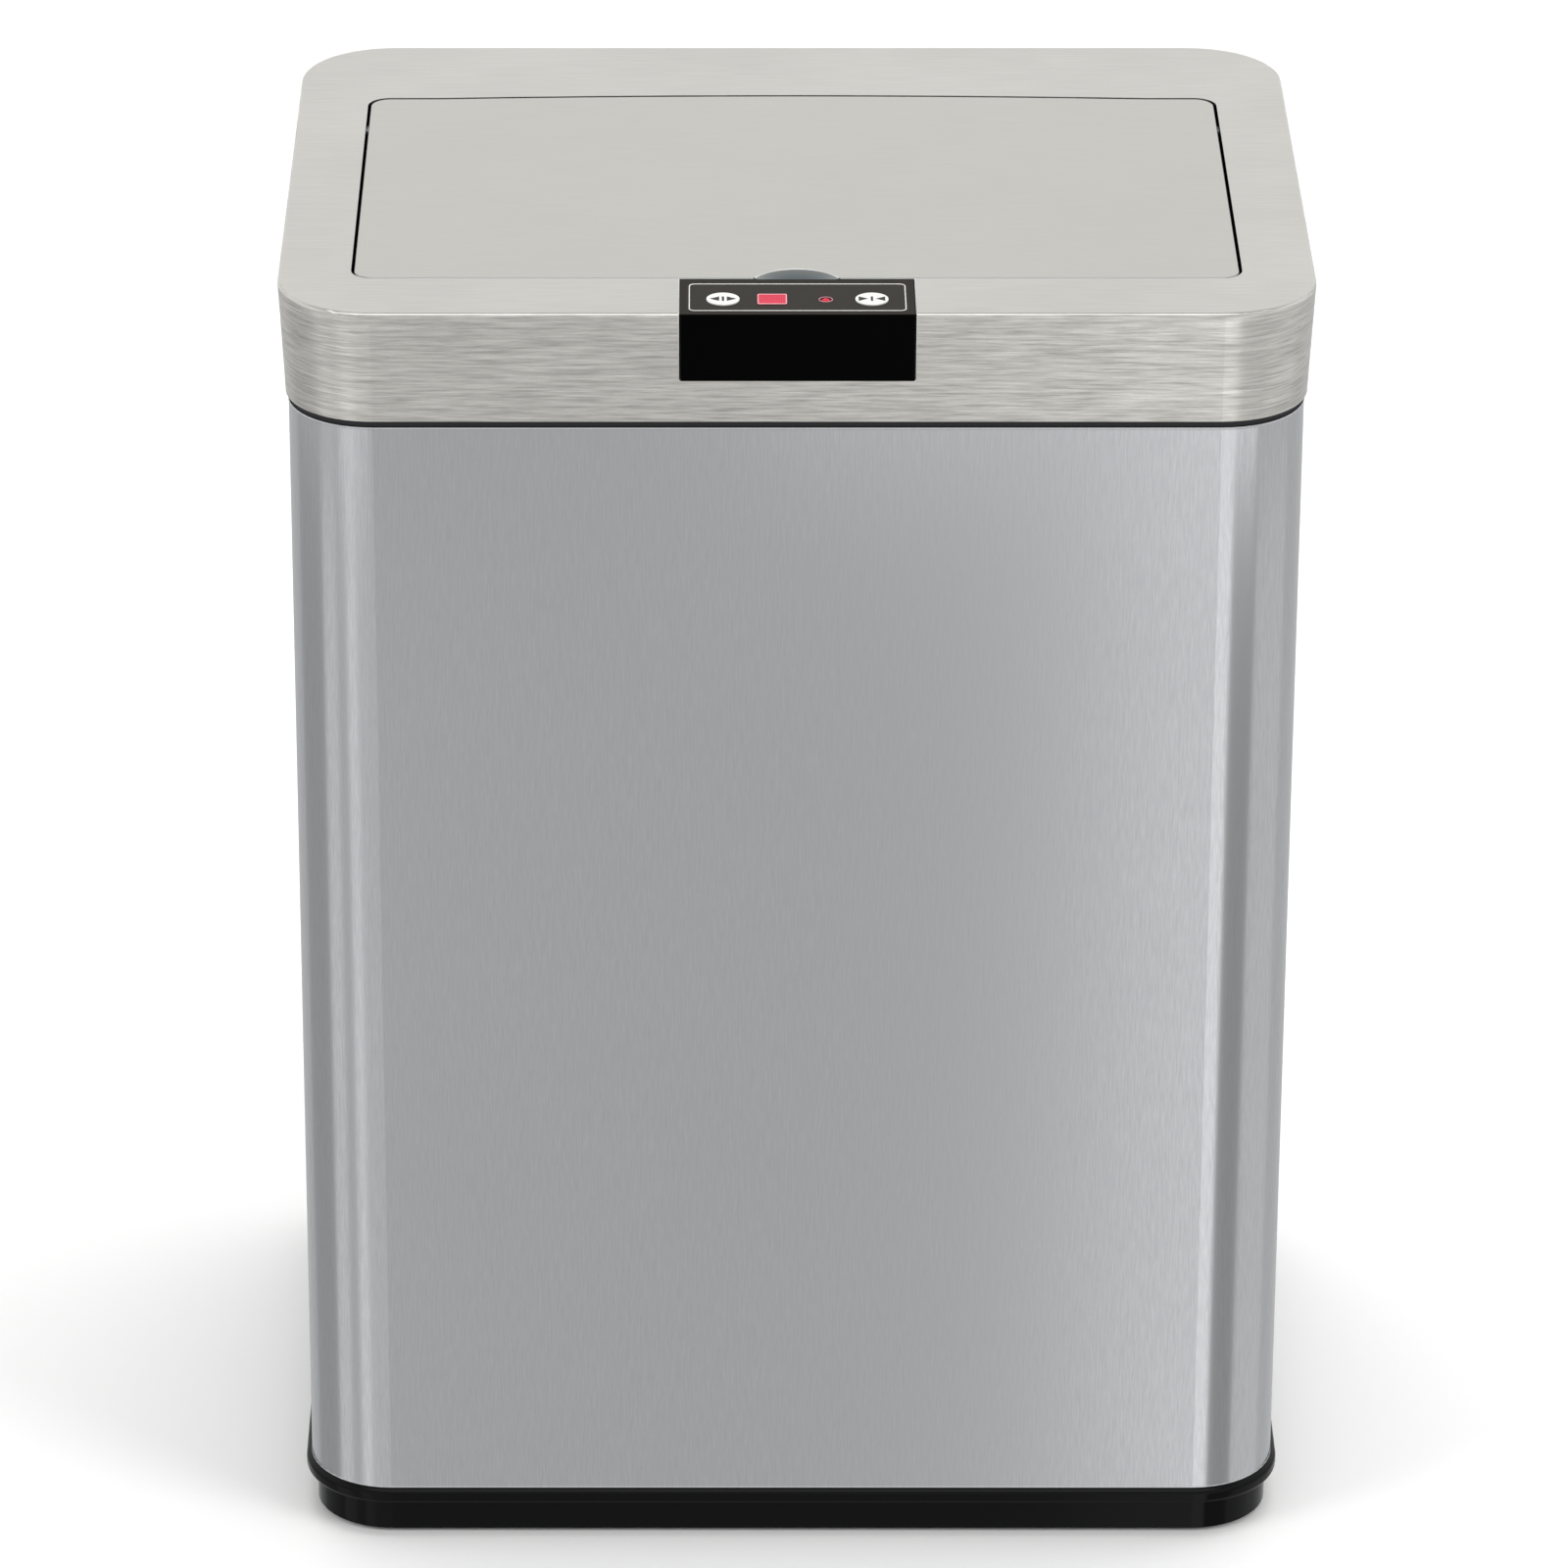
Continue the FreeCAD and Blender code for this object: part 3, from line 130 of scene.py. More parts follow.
def curved_card(name, first, last, low, high, brightness, distance=1.3):
    """A card round the bin between two bearings in degrees; 0 is in front, 90 to the right."""
    degrees_per_step = 4
    steps = max(2, int((last - first) / degrees_per_step))
    vertices = []
    for step in range(steps + 1):
        bearing = math.radians(first + (last - first) * step / steps)
        x, y = distance * math.sin(bearing), -distance * math.cos(bearing)
        vertices += [(x, y, low), (x, y, high)]
    lit_card(name, vertices, [(i, i + 1, i + 3, i + 2) for i in range(0, 2 * steps, 2)], brightness)


def soft_light(name, place, aim, width, height, power):
    """A rectangular lamp that the camera and the shine on the bin don't see."""
    lamp = bpy.data.lights.new(name, "AREA")
    lamp.shape = "RECTANGLE"
    lamp.size = width
    lamp.size_y = height
    lamp.energy = power
    lit = bpy.data.objects.new(name, lamp)
    lit.location = place
    lit.rotation_euler = (Vector(aim) - Vector(place)).to_track_quat("-Z", "Y").to_euler()
    lit.visible_camera = False
    lit.visible_glossy = False
    scene.collection.objects.link(lit)


floor_disc(radius=16)
# Each row has its name, its lower and upper edge, and its cards: bearings and brightness.
card_rows = (
    ("low", -1.4, 0.02, (
        (-180, -116, 0.62), (-116, -74, 0.46), (-74, -56, 0.85), (-56, -44, 0.62),
        (-44, -32, 0.98), (-32, -12, 0.74), (-12, 8, 0.615), (8, 15, 1.02),
        (15, 27, 1.25), (27, 56, 0.42), (56, 100, 0.78), (100, 180, 0.64))),
    ("rim", 0.02, 0.3, (
        (-180, -50, 0.66), (-50, -18, 0.95), (-18, 0, 0.6), (0, 10, 0.92),
        (10, 52, 1.2), (52, 180, 0.66))),
    ("high", 0.3, 1.9, ((-180, -60, 1.0), (-60, 60, 0.8), (60, 180, 1.0))))
for row, low, high, cards in card_rows:
    for first, last, brightness in cards:
        curved_card(f"{row}_card_{first % 360}", first, last, low, high, brightness)
overhead_corners = [(-1, -1.4, 2.0), (1, -1.4, 2.0), (1, -0.15, 2.0), (-1, -0.15, 2.0)]
lit_card("overhead_card", overhead_corners, [(0, 1, 2, 3)], brightness=2.0)
soft_light("overhead", (0.2, 0.6, 3.2), (0, 0, 0.3), 3.5, 2.5, 90)
soft_light("left_side", (-2.8, -1.6, 1.6), (0, 0, 0.3), 1.2, 2.4, 45)
soft_light("right_side", (3.0, -2.0, 1.8), (0, 0, 0.3), 1.6, 2.6, 70)

world = bpy.data.worlds.new("studio")
world.use_nodes = True
world.node_tree.nodes["Background"].inputs["Color"].default_value = linear("#f4f4f2")
world.node_tree.nodes["Background"].inputs["Strength"].default_value = 0.55
scene.world = world
scene.view_settings.view_transform = "Standard"

camera_data = bpy.data.cameras.new("camera")
camera_data.lens = 194
camera_data.sensor_width = 36
camera_data.shift_x = 0.05
camera_data.clip_end = 50
camera = bpy.data.objects.new("camera", camera_data)
camera.location = (-0.036, -3.22, 1.775)
camera.rotation_euler = (math.radians(65.05), 0, 0)
scene.collection.objects.link(camera)
scene.camera = camera


# ---- Steel shell ----
# The bin's wall is one sheet of stainless steel, belt-brushed upright, rolled to a rounded
# rectangle and locked along a seam at the back.  Its two raw edges are hemmed.

def brushed_steel(name, dark, light, wall, top, roughness, depth, calm_top=0.0, dish_shade=None):
    """Belt-brushed stainless steel, satin, with fine streaks along the brushing.

    wall and top give the streaks' size in mm along X, Y and Z, on upright and on level faces.
    Real scratches are about 0.05 mm wide; these are drawn coarse enough to show.  dish_shade gives
    the height below which the sheet is pressed down, and a painted shade colour that is mixed in
    below it, stronger deeper down.
    """
    material, tree, output = new_material(name)
    place = add(tree, "ShaderNodeTexCoord").outputs["Object"]
    streaks = []
    for size in (wall, top):
        stretch = add(tree, "ShaderNodeMapping", {
            "Vector": place, "Scale": [1 / (mm * MM) for mm in size]})
        streaks.append(add(tree, "ShaderNodeTexNoise", {
            "Vector": stretch.outputs[0], "Scale": 1.0, "Detail": 4.0, "Roughness": 0.62}).outputs[0])
    normal = add(tree, "ShaderNodeNewGeometry").outputs["Normal"]
    facing = add(tree, "ShaderNodeSeparateXYZ", {0: normal})
    level = add(tree, "ShaderNodeMath", {0: facing.outputs["Z"]}, operation="ABSOLUTE")
    is_top = add(tree, "ShaderNodeMapRange", {
        "Value": level.outputs[0], "From Min": 0.6, "From Max": 0.9})
    calm = add(tree, "ShaderNodeMix", {0: calm_top, 2: streaks[1], 3: 0.5})
    streak = add(tree, "ShaderNodeMix", {0: is_top.outputs[0], 2: streaks[0], 3: calm.outputs[0]})
    cloud = add(tree, "ShaderNodeTexNoise", {"Vector": place, "Scale": 1 / (70 * MM), "Detail": 2.0})
    shade = add(tree, "ShaderNodeMix", {0: 0.1, 2: streak.outputs[0], 3: cloud.outputs[0]})
    spread = add(tree, "ShaderNodeMapRange", {
        "Value": shade.outputs[0], "From Min": 0.3, "From Max": 0.7})
    colour = add(tree, "ShaderNodeMix", {0: spread.outputs[0], 6: linear(dark), 7: linear(light)},
                 data_type="RGBA")
    # Painted shade: below the given height the sheet is mixed towards the dark colour, more so deeper
    # down.
    if dish_shade:
        edge, floor = dish_shade[0] - 0.1 * MM, dish_shade[0] - 2.2 * MM
        height = add(tree, "ShaderNodeSeparateXYZ", {0: place}).outputs["Z"]
        deeper_shade = add(tree, "ShaderNodeMapRange", {
            "Value": height, "From Min": edge, "From Max": floor, "To Min": 0.55})
        inside = add(tree, "ShaderNodeMath", {0: height, 1: edge}, operation="LESS_THAN")
        shade_amount = add(tree, "ShaderNodeMath", {0: deeper_shade.outputs[0], 1: inside.outputs[0]},
                     operation="MULTIPLY")
        colour = add(tree, "ShaderNodeMix", {
            0: shade_amount.outputs[0], 6: colour.outputs[2], 7: linear(dish_shade[1])}, data_type="RGBA")
    rough = add(tree, "ShaderNodeMapRange", {
        "Value": shade.outputs[0], "From Min": 0.3, "From Max": 0.7, "To Min": roughness + 0.04,
        "To Max": roughness - 0.04})
    bump = add(tree, "ShaderNodeBump", {
        "Strength": depth, "Distance": 0.04 * MM, "Height": streak.outputs[0]})
    shader = add(tree, "ShaderNodeBsdfPrincipled", {
        "Base Color": colour.outputs[2], "Roughness": rough.outputs[0], "Normal": bump.outputs[0],
        "Metallic": 1.0})
    tree.links.new(shader.outputs[0], output.inputs[0])
    return material


def dress(material, *names):
    """Gives CAD nodes their finish."""
    for name in names:
        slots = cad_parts[name].data.materials
        slots.clear()
        slots.append(material)


def ride(piece, body, material=None):
    """Fixes a new piece to its body and its finish."""
    if material:
        piece.data.materials.append(material)
    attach(piece, body)
    return piece


def rounded_path(half_x, half_y, corner, z, middle=(0, 0)):
    """Points round a rounded rectangle, in metres."""
    points, corner_steps = [], 12
    for turn, (side_x, side_y) in enumerate(((1, -1), (1, 1), (-1, 1), (-1, -1))):
        for step in range(corner_steps + 1):
            angle = (turn - 1 + step / corner_steps) * math.pi / 2
            points.append((middle[0] + side_x * (half_x - corner) + corner * math.cos(angle),
                           middle[1] + side_y * (half_y - corner) + corner * math.sin(angle), z))
    return points


def middle_of(low, high, *axes):
    """The middle of a box on the given axes."""
    return [(low[axis] + high[axis]) / 2 for axis in axes]


def new_tree(name, sizes):
    """A geometry tree with named inputs; gives the tree and its group input."""
    tree = bpy.data.node_groups.new(name, "GeometryNodeTree")
    tree.interface.new_socket("Geometry", in_out="INPUT", socket_type="NodeSocketGeometry")
    for label, kind in sizes.items():
        tree.interface.new_socket(label, in_out="INPUT", socket_type=kind)
    tree.interface.new_socket("Material", in_out="INPUT", socket_type="NodeSocketMaterial")
    tree.interface.new_socket("Geometry", in_out="OUTPUT", socket_type="NodeSocketGeometry")
    return tree, tree.nodes.new("NodeGroupInput").outputs


def close_tree(tree, geometry, given):
    """Ends a tree in plain geometry with its material."""
    plain = add(tree, "GeometryNodeRealizeInstances", {"Geometry": geometry})
    dressed = add(tree, "GeometryNodeSetMaterial", {
        "Geometry": plain.outputs[0], "Material": given["Material"]})
    add(tree, "NodeGroupOutput", {"Geometry": dressed.outputs[0]})


def grown(name, points, tree, body, slot, material, smooth=False, path=None, **values):
    """Runs a tree on points, joined by edges where path is "open" or "closed", and keeps the mesh."""
    count = len(points)
    links = {"open": count - 1, "closed": count}.get(path, 0)
    source = bpy.data.meshes.new(name + "_source")
    source.from_pydata(points, [(i, (i + 1) % count) for i in range(links)], [])
    holder = bpy.data.objects.new(name + "_source", source)
    scene.collection.objects.link(holder)
    modifier = holder.modifiers.new("nodes", "NODES")
    modifier.node_group = tree
    values["Material"] = material
    for item in tree.interface.items_tree:
        key = item.name.replace(" ", "_")
        if item.in_out == "INPUT" and key in values:
            modifier[item.identifier] = values[key]
    mesh = bpy.data.meshes.new_from_object(holder.evaluated_get(bpy.context.evaluated_depsgraph_get()))
    bpy.data.objects.remove(holder)
    work = bmesh.new()
    work.from_mesh(mesh)
    bmesh.ops.recalc_face_normals(work, faces=work.faces)
    work.to_mesh(mesh)
    work.free()
    return ride(in_scene(name, mesh, smooth), body)


def bead_tree():
    """Sweeps a round bead along a line."""
    tree, given = new_tree("swept_bead", {
        "Bead Radius": "NodeSocketFloat", "Bead Sides": "NodeSocketInt"})
    line = add(tree, "GeometryNodeMeshToCurve", {"Mesh": given["Geometry"]})
    profile = add(tree, "GeometryNodeCurvePrimitiveCircle", {
        "Resolution": given["Bead Sides"], "Radius": given["Bead Radius"]}, mode="RADIUS")
    swept = add(tree, "GeometryNodeCurveToMesh", {
        "Curve": line.outputs[0], "Profile Curve": profile.outputs[0], "Fill Caps": True})
    close_tree(tree, swept.outputs[0], given)
    return tree


def stud_tree():
    """Sets a low round stud on every point, facing one way."""
    tree, given = new_tree("round_studs", {
        "Stud Radius": "NodeSocketFloat", "Stud Height": "NodeSocketFloat",
        "Facing": "NodeSocketVector"})
    stud = add(tree, "GeometryNodeMeshCylinder", {
        "Vertices": 20, "Radius": given["Stud Radius"], "Depth": given["Stud Height"]})
    turn = add(tree, "FunctionNodeAlignRotationToVector", {"Vector": given["Facing"]}, axis="Z")
    placed = add(tree, "GeometryNodeInstanceOnPoints", {
        "Points": given["Geometry"], "Instance": stud.outputs[0], "Rotation": turn.outputs[0]})
    close_tree(tree, placed.outputs[0], given)
    return tree


def bmesh_piece(name, work, smooth=False):
    """An object with the faces of a bmesh, which is freed."""
    mesh = bpy.data.meshes.new(name)
    work.to_mesh(mesh)
    work.free()
    return in_scene(name, mesh, smooth)


def bevelled_block(name, low, high, bevel):
    """A block with rounded edges, from one corner to the other in metres."""
    work = bmesh.new()
    bmesh.ops.create_cube(work, size=1.0)
    for vertex in work.verts:
        for axis in range(3):
            vertex.co[axis] = low[axis] + (vertex.co[axis] + 0.5) * (high[axis] - low[axis])
    bmesh.ops.bevel(work, geom=work.edges[:], offset=bevel, segments=3, profile=0.5, affect="EDGES")
    return bmesh_piece(name, work, smooth=True)


shell_low, shell_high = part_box("body_shell")
steel_shell = brushed_steel("brushed_steel_shell", "#c3c3c6", "#cfcfd2", (0.7, 0.7, 10), (0.7, 0.7, 10),
                            roughness=0.19, depth=0.08)
dress(steel_shell, "body_shell")
swept_bead = bead_tree()
round_studs = stud_tree()
hem_x, hem_y = shell_high[0] - 0.3 * MM, shell_high[1] - 0.3 * MM
hem_radius, hem_corner = 0.5 * MM, 34.2 * MM
for place, height in (("top", shell_high[2] - hem_radius), ("bottom", shell_low[2] + hem_radius)):
    grown(f"shell_{place}_hem", rounded_path(hem_x, hem_y, hem_corner, height), swept_bead, "bin",
          "brushed_steel", steel_shell, smooth=True, path="closed", Bead_Radius=hem_radius,
          Bead_Sides=10)
seam_half, seam_end = 3.5 * MM, 1.2 * MM
seam = bevelled_block("shell_lock_seam",
                      (-seam_half, shell_high[1] - 0.2 * MM, shell_low[2] + seam_end),
                      (seam_half, shell_high[1] + 0.45 * MM, shell_high[2] - seam_end), 0.2 * MM)
ride(seam, "bin", steel_shell)
weld_steel = brushed_steel("welded_steel", "#7c7b78", "#a3a19c", (0.8, 0.8, 0.8), (0.8, 0.8, 0.8),
                           roughness=0.42, depth=0.3)
weld_aside, first_weld, weld_pitch = 7, 18, 34
welds = [(side * weld_aside * MM, shell_high[1], shell_low[2] + (first_weld + weld_pitch * step) * MM)
         for side in (-1, 1) for step in range(14)]
grown("shell_spot_welds", welds, round_studs, "bin", "brushed_steel", weld_steel, Stud_Radius=1.5 * MM,
      Stud_Height=0.16 * MM, Facing=(0, 1, 0))


def foil_plate():
    """Blank rating plate: satin silver foil, printed with an empty ruled table."""
    material, tree, output = new_material("rating_foil")
    place = add(tree, "ShaderNodeTexCoord").outputs["Object"]
    at = add(tree, "ShaderNodeMapping", {"Vector": place, "Rotation": (math.pi / 2, 0, 0)})
    rules = add(tree, "ShaderNodeTexBrick", {
        "Vector": at.outputs[0], "Color1": linear("#c9cacb"), "Color2": linear("#c4c5c7"),
        "Mortar": linear("#2e2f31"), "Scale": 1.0, "Mortar Size": 0.22 * MM, "Brick Width": 26 * MM,
        "Row Height": 7 * MM}, offset=0.0)
    grain = add(tree, "ShaderNodeTexNoise", {"Vector": place, "Scale": 1 / (0.8 * MM)})
    rough = add(tree, "ShaderNodeMapRange", {"Value": grain.outputs[0], "To Min": 0.3, "To Max": 0.42})
    shader = add(tree, "ShaderNodeBsdfPrincipled", {
        "Base Color": rules.outputs[0], "Roughness": rough.outputs[0], "Metallic": 0.6})
    tree.links.new(shader.outputs[0], output.inputs[0])
    return material


plate = bevelled_block("rating_plate", (60 * MM, shell_high[1] - 0.05 * MM, 60 * MM),
                       (118 * MM, shell_high[1] + 0.12 * MM, 92 * MM), 0.04 * MM)
ride(plate, "bin", foil_plate())


# ---- Base and feet ----
# The shell stands on a tray moulded in glossy black polypropylene, with a rounded bead round it.
# Four soft rubber pads, each held by a plated screw, keep it off the floor.

def moulded_plastic(name, dark, light, roughness, grain, depth=0.12, shine=0.5, waves=None):
    """Moulded plastic: an even colour, slight flow clouding and a fine grain, its size in mm.

    shine is the specular level.
    """
    material, tree, output = new_material(name)
    place = add(tree, "ShaderNodeTexCoord").outputs["Object"]
    speck = add(tree, "ShaderNodeTexNoise", {
        "Vector": place, "Scale": 1 / (grain * MM), "Detail": 2.0})
    cloud = add(tree, "ShaderNodeTexNoise", {"Vector": place, "Scale": 1 / (25 * MM), "Detail": 2.0})
    blend = add(tree, "ShaderNodeMix", {0: 0.35, 2: speck.outputs[0], 3: cloud.outputs[0]})
    colour = add(tree, "ShaderNodeMix", {0: blend.outputs[0], 6: linear(dark), 7: linear(light)},
                 data_type="RGBA")
    rough = add(tree, "ShaderNodeMapRange", {"Value": blend.outputs[0], "To Min": roughness * 0.85,
                                             "To Max": roughness * 1.15})
    bump = add(tree, "ShaderNodeBump", {
        "Strength": depth, "Distance": 0.1 * MM, "Height": speck.outputs[0]})
    shader = add(tree, "ShaderNodeBsdfPrincipled", {
        "Base Color": colour.outputs[2], "Roughness": rough.outputs[0], "Normal": bump.outputs[0],
        "Specular IOR Level": shine})
    tree.links.new(shader.outputs[0], output.inputs[0])
    return material


def plated_steel(name, dark, light, roughness, grain):
    """Plated or turned metal in two close tones, with fine spangle of the given size in mm."""
    material, tree, output = new_material(name)
    place = add(tree, "ShaderNodeTexCoord").outputs["Object"]
    spangle = add(tree, "ShaderNodeTexNoise", {
        "Vector": place, "Scale": 1 / (grain * MM), "Detail": 3.0})
    colour = add(tree, "ShaderNodeMix", {0: spangle.outputs[0], 6: linear(dark), 7: linear(light)},
                 data_type="RGBA")
    rough = add(tree, "ShaderNodeMapRange", {"Value": spangle.outputs[0], "To Min": roughness - 0.06,
                                             "To Max": roughness + 0.06})
    shader = add(tree, "ShaderNodeBsdfPrincipled", {
        "Base Color": colour.outputs[2], "Roughness": rough.outputs[0], "Metallic": 1.0})
    tree.links.new(shader.outputs[0], output.inputs[0])
    return material


def recess_tree():
    """Marks every point with a thin cross standing for a cross recess, facing one way; its dark material
    is painted shade.
    """
    tree, given = new_tree("cross_recesses", {
        "Cross Length": "NodeSocketFloat", "Cross Width": "NodeSocketFloat",
        "Cross Height": "NodeSocketFloat", "Facing": "NodeSocketVector"})
    both = tree.nodes.new("GeometryNodeJoinGeometry")
    for first, second in (("Cross Length", "Cross Width"), ("Cross Width", "Cross Length")):
        size = add(tree, "ShaderNodeCombineXYZ", {
            "X": given[first], "Y": given[second], "Z": given["Cross Height"]})
        bar = add(tree, "GeometryNodeMeshCube", {"Size": size.outputs[0]})
        tree.links.new(bar.outputs[0], both.inputs[0])
    turn = add(tree, "FunctionNodeAlignRotationToVector", {"Vector": given["Facing"]}, axis="Z")
    placed = add(tree, "GeometryNodeInstanceOnPoints", {
        "Points": given["Geometry"], "Instance": both.outputs[0], "Rotation": turn.outputs[0]})
    close_tree(tree, placed.outputs[0], given)
    return tree


def cross_marks(name, points, body, facing, length=3.4 * MM, width=0.8 * MM):
    """A dark cross on each screw head: painted shade where the cross recess is."""
    grown(name, points, cross_recesses, body, "plated_steel", recess_shadow, Cross_Length=length,
          Cross_Width=width, Cross_Height=0.08 * MM, Facing=facing)


gloss_black = moulded_plastic("gloss_black_polypropylene", "#030304", "#060608", 0.12, 2.5,
                              depth=0.05, shine=0.14)
rubber = moulded_plastic("soft_black_rubber", "#101011", "#1a1a1b", 0.72, 0.8, depth=0.3, shine=0.25)
zinc = plated_steel("zinc_plated_steel", "#9ea3a8", "#c3c7ca", 0.3, 0.9)
# Painted shade: the dark crosses on the screw heads stand for the shade inside their cross recesses.
recess_shadow = moulded_plastic("screw_recess", "#0b0b0c", "#151516", 0.6, 0.6, shine=0.2)
dress(gloss_black, "base_tray")
dress(rubber, "rubber_feet")
dress(zinc, "foot_screws")
cross_recesses = recess_tree()
screw_low, screw_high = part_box("foot_screws")
foot_head = 3.6 * MM
foot_x, foot_y = screw_high[0] - foot_head, screw_high[1] - foot_head
cross_marks("foot_screw_recesses",
            [(x * foot_x, y * foot_y, screw_low[2]) for x in (-1, 1) for y in (-1, 1)],
            "bin", (0, 0, -1), length=4.2 * MM, width=1.0 * MM)


# ---- Collar and bag ring ----
# A collar moulded in matt black polypropylene fills the shell's mouth; the ring on its ledge pinches
# the bag's edge, and short ribs on its lip keep the bag from slipping.

def bar_tree():
    """Repeats a bar along a line, its length, width and height along, across and above the line."""
    tree, given = new_tree("bars_along_line", {
        "Bar Count": "NodeSocketInt", "Bar Size": "NodeSocketVector"})
    line = add(tree, "GeometryNodeMeshToCurve", {"Mesh": given["Geometry"]})
    places = add(tree, "GeometryNodeCurveToPoints", {
        "Curve": line.outputs[0], "Count": given["Bar Count"]}, mode="COUNT")
    turn = add(tree, "FunctionNodeAlignRotationToVector", {"Vector": places.outputs["Tangent"]},
               axis="X")
    bar = add(tree, "GeometryNodeMeshCube", {"Size": given["Bar Size"]})
    placed = add(tree, "GeometryNodeInstanceOnPoints", {
        "Points": places.outputs["Points"], "Instance": bar.outputs[0], "Rotation": turn.outputs[0]})
    close_tree(tree, placed.outputs[0], given)
    return tree


matt_black = moulded_plastic("matt_black_polypropylene", "#19191b", "#242427", 0.5, 1.1, shine=0.35)
dress(matt_black, "top_collar", "bag_ring")
bars_along_line = bar_tree()
ring_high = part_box("bag_ring")[1]
lip, lip_corner = 3.2 * MM, 27.2 * MM
grown("bag_ring_ribs", rounded_path(ring_high[0] - lip, ring_high[1] - lip, lip_corner, ring_high[2]),
      bars_along_line, "bin", "matte_black", matt_black, path="closed", Bar_Count=96,
      Bar_Size=(1.2 * MM, 4.6 * MM, 0.6 * MM))


# ---- Head frame and its base plate ----
# The head's inside is a frame moulded in matt black polypropylene, closed from below by a plate.
# Four plated screws hold the plate; two rubber pads stop the lid.

dress(matt_black, "head_frame", "head_base")
dress(rubber, "lid_bumpers")
dress(zinc, "frame_screws")
screw_low, screw_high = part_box("frame_screws")
screw_head = 2.8 * MM
fixing_x, fixing_y = screw_high[0] - screw_head, screw_high[1] - screw_head
cross_marks("frame_screw_recesses",
            [(x * fixing_x, y * fixing_y, screw_low[2]) for x in (-1, 1) for y in (-1, 1)],
            "head", (0, 0, -1))


# ---- Head cover ----
# The rim is pressed from brushed stainless sheet.  The brushing runs level round its walls, coarse
# enough to see, and its top is finer; round the cut for the sensor, a thin bead of bright steel
# is the sheet's edge with a painted highlight on it.

cover_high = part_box("head_cover")[1]
steel_rim = brushed_steel("brushed_steel_rim", "#b2b0ab", "#f0ede7", (18, 18, 0.9),
                          (26, 0.9, 0.9), roughness=0.3, depth=0.5, calm_top=0.8)
dress(steel_rim, "head_cover")
# Painted highlight: a lighter steel than the rim's, for the lit sheet edges round the sensor cut and the
# thumb dish.
edge_highlight_steel = brushed_steel("sheared_steel_edge", "#dededc", "#f4f4f2", (1, 1, 1), (1, 1, 1),
                          roughness=0.35, depth=0.1)
cap_low, cap_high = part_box("sensor_housing")
cut_gap = 0.55 * MM
edge_x = cap_high[0] + cut_gap
cut_low = cap_low[2] - cut_gap
wall_slope = 2.4 / 46.5
lean = wall_slope * (cover_high[2] - cut_low)
front_y, gap_y = -cover_high[1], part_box("lid_skin")[0][1] - 0.6 * MM
cut_line = [(-edge_x, gap_y, cover_high[2]), (-edge_x, front_y + 0.8 * MM, cover_high[2]),
            (-edge_x, front_y + 0.1 * MM, cover_high[2] - 0.9 * MM),
            (-edge_x, front_y + lean, cut_low)]
cut_line += [(-x, y, z) for x, y, z in reversed(cut_line)]
grown("sensor_cut_edge", cut_line, swept_bead, "head", "brushed_steel", edge_highlight_steel, smooth=True,
      path="open", Bead_Radius=0.28 * MM, Bead_Sides=8)


# ---- Sensor module ----
# A cap moulded in gloss black ABS, its top satin under a dark printed film with a pale border line.
# The film leaves room for two white buttons, a clear red window and a red light.

def sensor_black(name):
    """Gloss black ABS; faces that look up are satin dark grey."""
    material, tree, output = new_material(name)
    place = add(tree, "ShaderNodeTexCoord").outputs["Object"]
    speck = add(tree, "ShaderNodeTexNoise", {"Vector": place, "Scale": 1 / (0.7 * MM), "Detail": 2.0})
    normal = add(tree, "ShaderNodeNewGeometry").outputs["Normal"]
    facing = add(tree, "ShaderNodeSeparateXYZ", {0: normal})
    is_top = add(tree, "ShaderNodeMapRange", {
        "Value": facing.outputs["Z"], "From Min": 0.85, "From Max": 0.97})
    grey = add(tree, "ShaderNodeMix", {0: speck.outputs[0], 6: linear("#25221f"), 7: linear("#2e2b27")},
               data_type="RGBA")
    colour = add(tree, "ShaderNodeMix", {0: is_top.outputs[0], 6: linear("#010201"), 7: grey.outputs[2]},
                 data_type="RGBA")
    rough = add(tree, "ShaderNodeMapRange", {"Value": is_top.outputs[0], "To Min": 0.16, "To Max": 0.5})
    shader = add(tree, "ShaderNodeBsdfPrincipled", {
        "Base Color": colour.outputs[2], "Roughness": rough.outputs[0], "Specular IOR Level": 0.025})
    tree.links.new(shader.outputs[0], output.inputs[0])
    return material


def clear_red(name, dark, light, ridge, glow):
    """Clear red polycarbonate with ridges of about the given width in mm; glow lights it faintly."""
    material, tree, output = new_material(name)
    place = add(tree, "ShaderNodeTexCoord").outputs["Object"]
    ridges = add(tree, "ShaderNodeTexWave", {
        "Vector": place, "Scale": 1 / (ridge * MM) / 3.14, "Distortion": 0.6})
    colour = add(tree, "ShaderNodeMix", {0: ridges.outputs["Fac"], 6: linear(dark), 7: linear(light)},
                 data_type="RGBA")
    bump = add(tree, "ShaderNodeBump", {
        "Strength": 0.1, "Distance": 0.1 * MM, "Height": ridges.outputs["Fac"]})
    shader = add(tree, "ShaderNodeBsdfPrincipled", {
        "Base Color": colour.outputs[2], "Roughness": 0.25, "Normal": bump.outputs[0],
        "Specular IOR Level": 0.08, "Emission Color": linear(dark), "Emission Strength": glow})
    tree.links.new(shader.outputs[0], output.inputs[0])
    return material


def circuit_board():
    """Glass epoxy board: green solder mask over copper tracks."""
    material, tree, output = new_material("green_circuit_board")
    place = add(tree, "ShaderNodeTexCoord").outputs["Object"]
    tracks = add(tree, "ShaderNodeTexBrick", {
        "Vector": place, "Color1": linear("#12552f"), "Color2": linear("#15603a"),
        "Mortar": linear("#2f8a4e"), "Scale": 1.0, "Mortar Size": 0.25 * MM, "Brick Width": 7 * MM,
        "Row Height": 2.2 * MM})
    shader = add(tree, "ShaderNodeBsdfPrincipled", {"Base Color": tracks.outputs[0], "Roughness": 0.35})
    tree.links.new(shader.outputs[0], output.inputs[0])
    return material


